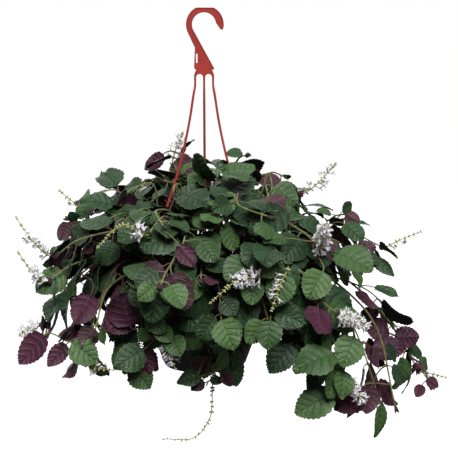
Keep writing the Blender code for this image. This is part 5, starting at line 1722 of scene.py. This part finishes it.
def stem_finish(plant):
    finish = Finish("stem", Specular_IOR_Level=0.35, Sheen_Weight=0.10)
    _, age, blush = finish.tone()
    streaks = finish.noise(160.0, 4.0, 0.6)
    body = finish.mix(age.rise(0.12, 0.72), plant.stem_young, plant.stem_old)
    purple = finish.mix(streaks.rise(0.40, 0.66) * (0.25 + blush * 0.45), body, plant.plum_dark)
    return finish.surfaced(purple, 0.52 + streaks * 0.18, finish.noise(900.0, 2.0), 0.15 * MM, 0.6)


def stalk_finish(plant):
    finish = Finish("stalk", Specular_IOR_Level=0.35, Sheen_Weight=0.10)
    streaks = finish.noise(220.0, 3.0)
    colour = finish.mix(streaks.rise(0.38, 0.70), plant.stalk, plant.stem_young)
    return finish.surfaced(colour, 0.55 + streaks * 0.15, finish.noise(1100.0, 2.0), 0.1 * MM, 0.5)


def bud_finish(plant):
    finish = Finish("bud", Specular_IOR_Level=0.30, Sheen_Weight=0.15)
    chance, _, blush = finish.tone()
    grain = finish.noise(700.0, 3.0)
    green = finish.mix(chance, plant.stalk, plant.bud)
    tinted = finish.mix(blush.rise(0.55, 1.0) * 0.55, green, plant.plum)
    colour = finish.mix(grain.rise(0.4, 0.75) * 0.35, tinted, plant.petal)
    return finish.surfaced(colour, 0.60 + grain * 0.15, grain, 0.15 * MM, 0.6)


def petal_finish(plant):
    finish = Finish("petal", Specular_IOR_Level=0.25, Sheen_Weight=0.20, Subsurface_Weight=0.55,
                    Subsurface_Scale=0.004, Subsurface_Radius=(1.0, 1.0, 1.0))
    chance, age, _ = finish.tone()
    specks = 1 - finish.cells(900.0).rise(0.10, 0.24)
    veins = finish.noise(330.0, 2.0)
    body = finish.mix(chance * 0.30 + veins.rise(0.45, 0.8) * 0.15, plant.petal, plant.petal_lilac)
    colour = finish.mix(specks * age * 0.55, body, plant.petal_speck)
    return finish.surfaced(colour, 0.52 + veins * 0.16, veins, 0.12 * MM, 0.5)


def hanger_finish(hanger):
    finish = Finish("hanger_plastic", Specular_IOR_Level=0.42)
    flow = finish.noise(26.0, 3.0)
    grain = finish.noise(1400.0, 2.0)
    # Scuffs: worn places in roughness and bump, painted lighter in colour, which is partly a painted
    # highlight.
    scuffs_and_highlights = finish.noise(190.0, 5.0, 0.7).rise(0.60, 0.78)
    moulded = finish.mix(flow.rise(0.3, 0.7) * 0.5, hanger.colour, hanger.colour_shade)
    colour = finish.mix(scuffs_and_highlights * 0.22, moulded, hanger.colour_worn_and_highlight)
    relief = grain * 0.6 + scuffs_and_highlights * 0.4
    return finish.surfaced(colour, 0.36 + scuffs_and_highlights * 0.16 + grain * 0.10, relief, 0.06 * MM, 0.5)


def pot_finish(pot):
    finish = Finish("pot_plastic", Specular_IOR_Level=0.40)
    flow = finish.noise(18.0, 3.0)
    grain = finish.noise(1100.0, 2.0)
    dust = finish.noise(70.0, 6.0, 0.65).rise(0.52, 0.76)
    body = finish.mix(flow.rise(0.3, 0.7), pot.colour, pot.colour_light)
    colour, relief = finish.mix(dust * 0.35, body, pot.dust), grain * 0.7 + dust * 0.3
    return finish.surfaced(colour, 0.40 + dust * 0.25 + grain * 0.08, relief, 0.08 * MM, 0.5)


def soil_finish(pot, name, lighter):
    finish = Finish(name, Specular_IOR_Level=0.25)
    clods = finish.noise(130.0, 6.0, 0.7)
    crumb = finish.cells(420.0)
    earth = finish.mix(clods.rise(0.35, 0.65), pot.soil_dark, pot.soil)
    colour = finish.mix(crumb.rise(0.25, 0.7) * lighter, earth, pot.soil_bark)
    return finish.surfaced(colour, 0.80 + clods * 0.18, clods * 0.6 + crumb * 0.4, 1.2 * MM, 0.9)


# Settings

def colour_property(name, description, default):
    return bpy.props.FloatVectorProperty(name=name, description=description, default=default, size=3,
                                         min=0.0, max=1.0, subtype="COLOR")


def strength_property(name, description, default):
    return bpy.props.FloatProperty(name=name, description=description, default=default, min=0.0)


class PlantSettings(bpy.types.PropertyGroup):
    """Colours of the leaves, stems and flowers."""

    leaf_fresh: colour_property("Leaf, fresh", "Lightest green of an upper side", (0.037, 0.098, 0.026))
    # The darkest green of an upper side, which also gives the painted shade in the net of creases
    leaf_deep_and_shade: colour_property("Leaf, deep", "Darkest green of an upper side", (0.007, 0.022, 0.009))
    # The paler margin, and the painted highlight on the puffed places
    leaf_margin_and_highlight: colour_property("Leaf, light", "Puffed places and the margin", (0.070, 0.142, 0.056))
    leaf_young: colour_property("Leaf, young", "Upper side near a shoot's tip", (0.074, 0.145, 0.040))
    # Painted shade in the sunken veins of the upper side
    leaf_vein_shade: colour_property("Leaf, vein", "Sunken veins of the upper side", (0.015, 0.036, 0.016))
    plum: colour_property("Plum", "Underside of a leaf", (0.068, 0.011, 0.029))
    plum_dark: colour_property("Plum, dark", "Darkest purple of undersides and stems", (0.028, 0.009, 0.023))
    under_green: colour_property("Underside, green", "Green part of an underside", (0.060, 0.070, 0.040))
    under_vein: colour_property("Underside, vein", "Raised veins of the underside", (0.165, 0.060, 0.088))
    stem_young: colour_property("Stem, young", "Stem near the shoot's tip", (0.200, 0.240, 0.070))
    stem_old: colour_property("Stem, old", "Stem near its root", (0.090, 0.036, 0.030))
    stalk: colour_property("Flower stalk", "Stalk of a flower spike", (0.290, 0.320, 0.095))
    bud: colour_property("Bud", "Unopened buds", (0.500, 0.510, 0.200))
    petal: colour_property("Petal", "White of the petals", (0.940, 0.915, 0.930))
    petal_lilac: colour_property("Petal, lilac", "Lilac tint of the petals", (0.860, 0.800, 0.880))
    petal_speck: colour_property("Petal, speck", "Purple specks on the petals", (0.450, 0.260, 0.500))


class HangerSettings(bpy.types.PropertyGroup):
    """Colours of the moulded hanger."""

    colour: colour_property("Plastic", "Brick red of the moulding", (0.430, 0.046, 0.036))
    colour_shade: colour_property("Plastic, shade", "Darker streaks in the moulding", (0.270, 0.030, 0.025))
    # Scuffed places, painted lighter, partly as a painted highlight
    colour_worn_and_highlight: colour_property("Plastic, worn", "Scuffed places", (0.480, 0.105, 0.088))


class PotSettings(bpy.types.PropertyGroup):
    """Colours of the pot and its soil."""

    colour: colour_property("Plastic", "Charcoal of the pot", (0.022, 0.020, 0.024))
    colour_light: colour_property("Plastic, light", "Lighter streaks in the moulding", (0.034, 0.030, 0.035))
    dust: colour_property("Dust", "Dust and dried splashes on the pot", (0.110, 0.090, 0.080))
    soil: colour_property("Soil", "Damp potting soil", (0.046, 0.029, 0.018))
    soil_dark: colour_property("Soil, dark", "Wettest places", (0.016, 0.010, 0.007))
    soil_bark: colour_property("Bark", "Crumbs of bark and fibre", (0.120, 0.075, 0.045))


class StageSettings(bpy.types.PropertyGroup):
    """Floor and light."""

    floor_colour: colour_property("Floor", "Colour of the plain floor", (0.97, 0.97, 0.97))
    floor_height: bpy.props.FloatProperty(name="Floor height", description="Height from the hook",
                                          default=-1.9, max=-0.8, subtype="DISTANCE", unit="LENGTH")
    key_strength: strength_property("Key light", "Strength of the soft main light", 4.3)
    fill_strength: strength_property("Fill light", "Strength of the soft light from behind", 1.9)
    ambient: strength_property("Ambient", "Strength of the light from all round", 0.10)


# Operators

def finished(target, materials, replaced=(), sharp=None):
    """Gives a piece its finishes, smooth shading up to an angle, and its place in the frame."""
    for material in materials:
        target.data.materials.append(material)
    target.data.shade_smooth()
    if sharp is not None:
        target.data.set_sharp_from_angle(angle=math.radians(sharp))
    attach(target, "root")
    if replaced:
        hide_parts(*replaced)


def grown_object(name, bm):
    """A piece of the plant in the scene, with its faces turned outwards."""
    bmesh.ops.recalc_face_normals(bm, faces=bm.faces[:])
    return plain_object(name, bm)


@functools.cache
def planted():
    """The shoots of the solids with the leaves added to them, and the shoots that fill the plant."""
    shoots, obstacles = lay_out()
    return shoots, fill_plant(shoots, obstacles)


@functools.cache
def plant_finishes():
    """The finishes of leaves and flowers, made once."""
    plant = bpy.context.scene.ivy_plant
    leaf = (leaf_top_finish(plant), leaf_under_finish(plant), stem_finish(plant))
    flower = (stalk_finish(plant), bud_finish(plant), petal_finish(plant))
    return leaf, flower


class OBJECT_OT_ivy_shoots(bpy.types.Operator):
    """Models each shoot of the solids with fine leaves, petioles and stem"""

    bl_idname = "object.ivy_shoots"
    bl_label = "Leafy Shoots"

    def execute(self, context):
        shoots, _ = planted()
        leaf, _ = plant_finishes()
        for number, shoot in enumerate(shoots):
            bm = new_bmesh()
            add_shoot(bm, shoot, random.Random(SHOOT_SEED + number))
            target = grown_object(f"leaves_{shoot.name}", bm)
            finished(target, leaf, [f"shoot_{shoot.name}"], LEAF_SHARP)
        return {"FINISHED"}


class OBJECT_OT_ivy_filling(bpy.types.Operator):
    """Fills the plant with more shoots between the solid ones"""

    bl_idname = "object.ivy_filling"
    bl_label = "Filling Shoots"

    def execute(self, context):
        _, added = planted()
        leaf, _ = plant_finishes()
        for ring in ["fill_shown", *(row[0] for row in FILL_RINGS)]:
            bm = new_bmesh()
            for number, shoot in enumerate(added):
                if shoot.name.startswith(f"{ring}_"):
                    add_shoot(bm, shoot, random.Random(FILLING_SEED + number))
            finished(grown_object(ring, bm), leaf, (), LEAF_SHARP)
        return {"FINISHED"}


class OBJECT_OT_ivy_spikes(bpy.types.Operator):
    """Models the flower spikes with their florets and buds"""

    bl_idname = "object.ivy_spikes"
    bl_label = "Flower Spikes"

    def execute(self, context):
        shoots, _ = planted()
        _, flower = plant_finishes()
        for number, shoot in enumerate(shoots):
            if shoot.spike:
                bm = new_bmesh()
                add_spike(bm, shoot.spike, BLOOM[shoot.name], random.Random(SPIKE_SEED + number))
                target = grown_object(f"flowers_{shoot.name}", bm)
                finished(target, flower, [f"spike_{shoot.name}"], FLOWER_SHARP)
        return {"FINISHED"}


class OBJECT_OT_ivy_hanger(bpy.types.Operator):
    """Models the hook, its head and the three strands as one moulding"""

    bl_idname = "object.ivy_hanger"
    bl_label = "Hanger"

    def execute(self, context):
        nodes = ["hanger_hook", *(f"hanger_strand_{name}" for name in LUG_ANGLES)]
        finish = hanger_finish(context.scene.ivy_hanger)
        finished(plain_object("hanger", hanger_mesh()), [finish], nodes, HANGER_SHARP)
        return {"FINISHED"}


class OBJECT_OT_ivy_pot(bpy.types.Operator):
    """Turns the pot and cuts the slots and drain holes"""

    bl_idname = "object.ivy_pot"
    bl_label = "Pot"

    def execute(self, context):
        pot = plain_object("pot_turned", spun_mesh(pot_profile(), POT_STEPS))
        cutters = []
        for name, degrees in LUG_ANGLES.items():
            centre = polar(LUG_RADIUS, degrees, RIM_Z)
            cutters.append(block(f"slot_{name}", centre, (SLOT_DEPTH, SLOT_WIDTH, SLOT_CUT), degrees))
        for i in range(DRAIN_HOLES):
            centre = polar(DRAIN_CIRCLE, 360 * i / DRAIN_HOLES, POT_BASE_Z + FOOT_HEIGHT)
            cutters.append(drill(f"drain_{i + 1}", centre))
        cut_away(pot, cutters)
        pot.data.materials.clear()
        finished(pot, [pot_finish(context.scene.ivy_pot)], ["pot"], POT_SHARP)
        return {"FINISHED"}


class OBJECT_OT_ivy_soil(bpy.types.Operator):
    """Models the soil with its crumbs"""

    bl_idname = "object.ivy_soil"
    bl_label = "Soil"

    def execute(self, context):
        settings = context.scene.ivy_pot
        soil = plain_object("soil_body", soil_mesh())
        finished(soil, [soil_finish(settings, "soil_damp", 0.35)], ["soil"])
        crumbs = plain_object("soil_crumbs", crumbs_mesh(random.Random(CRUMB_SEED)))
        finished(crumbs, [soil_finish(settings, "soil_crumb", 0.8)], (), CRUMB_SHARP)
        return {"FINISHED"}


class OBJECT_OT_ivy_stage(bpy.types.Operator):
    """Sets the floor, the lights and the camera"""

    bl_idname = "object.ivy_stage"
    bl_label = "Stage"

    def execute(self, context):
        settings = context.scene.ivy_stage
        set_floor(settings)
        set_light(settings)
        set_camera()
        context.scene.view_settings.view_transform = "Standard"
        return {"FINISHED"}


# Stage

CAMERA_AIM = Vector((0.0417, 0.0, -0.364))
CAMERA_DISTANCE = 2.4
CAMERA_ELEVATION = 8.0
CAMERA_LENS = 111.0
FLOOR_RADIUS = 14.0
KEY_DIRECTION = (0.12, -0.64, 0.76)
KEY_ANGLE = 34.0
FILL_DIRECTION = (-0.35, 0.82, 0.45)
FILL_ANGLE = 70.0


def set_floor(settings):
    bm = bmesh.new()
    bmesh.ops.create_circle(bm, cap_ends=True, segments=96, radius=FLOOR_RADIUS,
                            matrix=Matrix.Translation((0.0, 0.0, settings.floor_height)))
    floor = plain_object("floor", bm)
    finish = Finish("floor", Roughness=0.9)
    speckle = finish.noise(6.0, 3.0)
    tint = [0.97 * value for value in settings.floor_colour]
    finish.feed("Base Color", finish.mix(speckle, settings.floor_colour, tint))
    floor.data.materials.append(finish.material)
    floor.visible_diffuse = False
    floor.visible_glossy = False


def set_light(settings):
    """Soft suns from the front and from behind, and an even light all round with a white background."""
    for name, strength, direction, angle in (
        ("key", settings.key_strength, KEY_DIRECTION, KEY_ANGLE),
        ("fill", settings.fill_strength, FILL_DIRECTION, FILL_ANGLE),
    ):
        sun = bpy.data.objects.new(name, bpy.data.lights.new(name, "SUN"))
        sun.data.energy = strength
        sun.data.angle = math.radians(angle)
        sun.rotation_euler = Vector(direction).to_track_quat("Z", "Y").to_euler()
        bpy.context.scene.collection.objects.link(sun)
    world = bpy.data.worlds.new("studio")
    bpy.context.scene.world = world
    world.use_nodes = True
    tree = world.node_tree
    tree.nodes.clear()
    both = tree.nodes.new("ShaderNodeMixShader")
    tree.links.new(tree.nodes.new("ShaderNodeLightPath").outputs["Is Camera Ray"], both.inputs[0])
    for place, strength in ((1, settings.ambient), (2, 1.0)):
        white = tree.nodes.new("ShaderNodeBackground")
        white.inputs["Color"].default_value = (1.0, 1.0, 1.0, 1.0)
        white.inputs["Strength"].default_value = strength
        tree.links.new(white.outputs[0], both.inputs[place])
    tree.links.new(both.outputs[0], tree.nodes.new("ShaderNodeOutputWorld").inputs["Surface"])


def set_camera():
    camera = bpy.data.objects.new("camera", bpy.data.cameras.new("camera"))
    camera.data.lens = CAMERA_LENS
    back = Vector((0.0, -math.cos(math.radians(CAMERA_ELEVATION)), math.sin(math.radians(CAMERA_ELEVATION))))
    camera.location = CAMERA_AIM + back * CAMERA_DISTANCE
    camera.rotation_euler = back.to_track_quat("Z", "Y").to_euler()
    bpy.context.scene.collection.objects.link(camera)
    bpy.context.scene.camera = camera


# Panel

class VIEW3D_PT_ivy(bpy.types.Panel):
    """The settings and the steps that build the hanging pot"""

    bl_label = "Swedish Ivy"
    bl_idname = "VIEW3D_PT_ivy"
    bl_space_type = "VIEW_3D"
    bl_region_type = "UI"
    bl_category = "Swedish Ivy"

    def draw(self, context):
        layout = self.layout
        for title, settings in SETTINGS:
            box = layout.box()
            box.label(text=title)
            group = getattr(context.scene, settings)
            for name in group.__annotations__:
                box.prop(group, name)
        for step in STEPS:
            layout.operator(step.bl_idname)


SETTINGS = (("Plant", "ivy_plant"), ("Hanger", "ivy_hanger"), ("Pot", "ivy_pot"), ("Stage", "ivy_stage"))
STEPS = (
    OBJECT_OT_ivy_shoots,
    OBJECT_OT_ivy_filling,
    OBJECT_OT_ivy_spikes,
    OBJECT_OT_ivy_hanger,
    OBJECT_OT_ivy_pot,
    OBJECT_OT_ivy_soil,
    OBJECT_OT_ivy_stage,
)
GROUPS = (PlantSettings, HangerSettings, PotSettings, StageSettings)


def register():
    for kind in (*GROUPS, *STEPS, VIEW3D_PT_ivy):
        bpy.utils.register_class(kind)
    for (_, name), group in zip(SETTINGS, GROUPS):
        setattr(bpy.types.Scene, name, bpy.props.PointerProperty(type=group))


def unregister():
    for _, name in SETTINGS:
        delattr(bpy.types.Scene, name)
    for kind in reversed((*GROUPS, *STEPS, VIEW3D_PT_ivy)):
        bpy.utils.unregister_class(kind)


def main():
    register()
    bpy.ops.object.ivy_shoots()
    bpy.ops.object.ivy_filling()
    bpy.ops.object.ivy_spikes()
    bpy.ops.object.ivy_hanger()
    bpy.ops.object.ivy_pot()
    bpy.ops.object.ivy_soil()
    bpy.ops.object.ivy_stage()


if __name__ == "__main__":
    main()
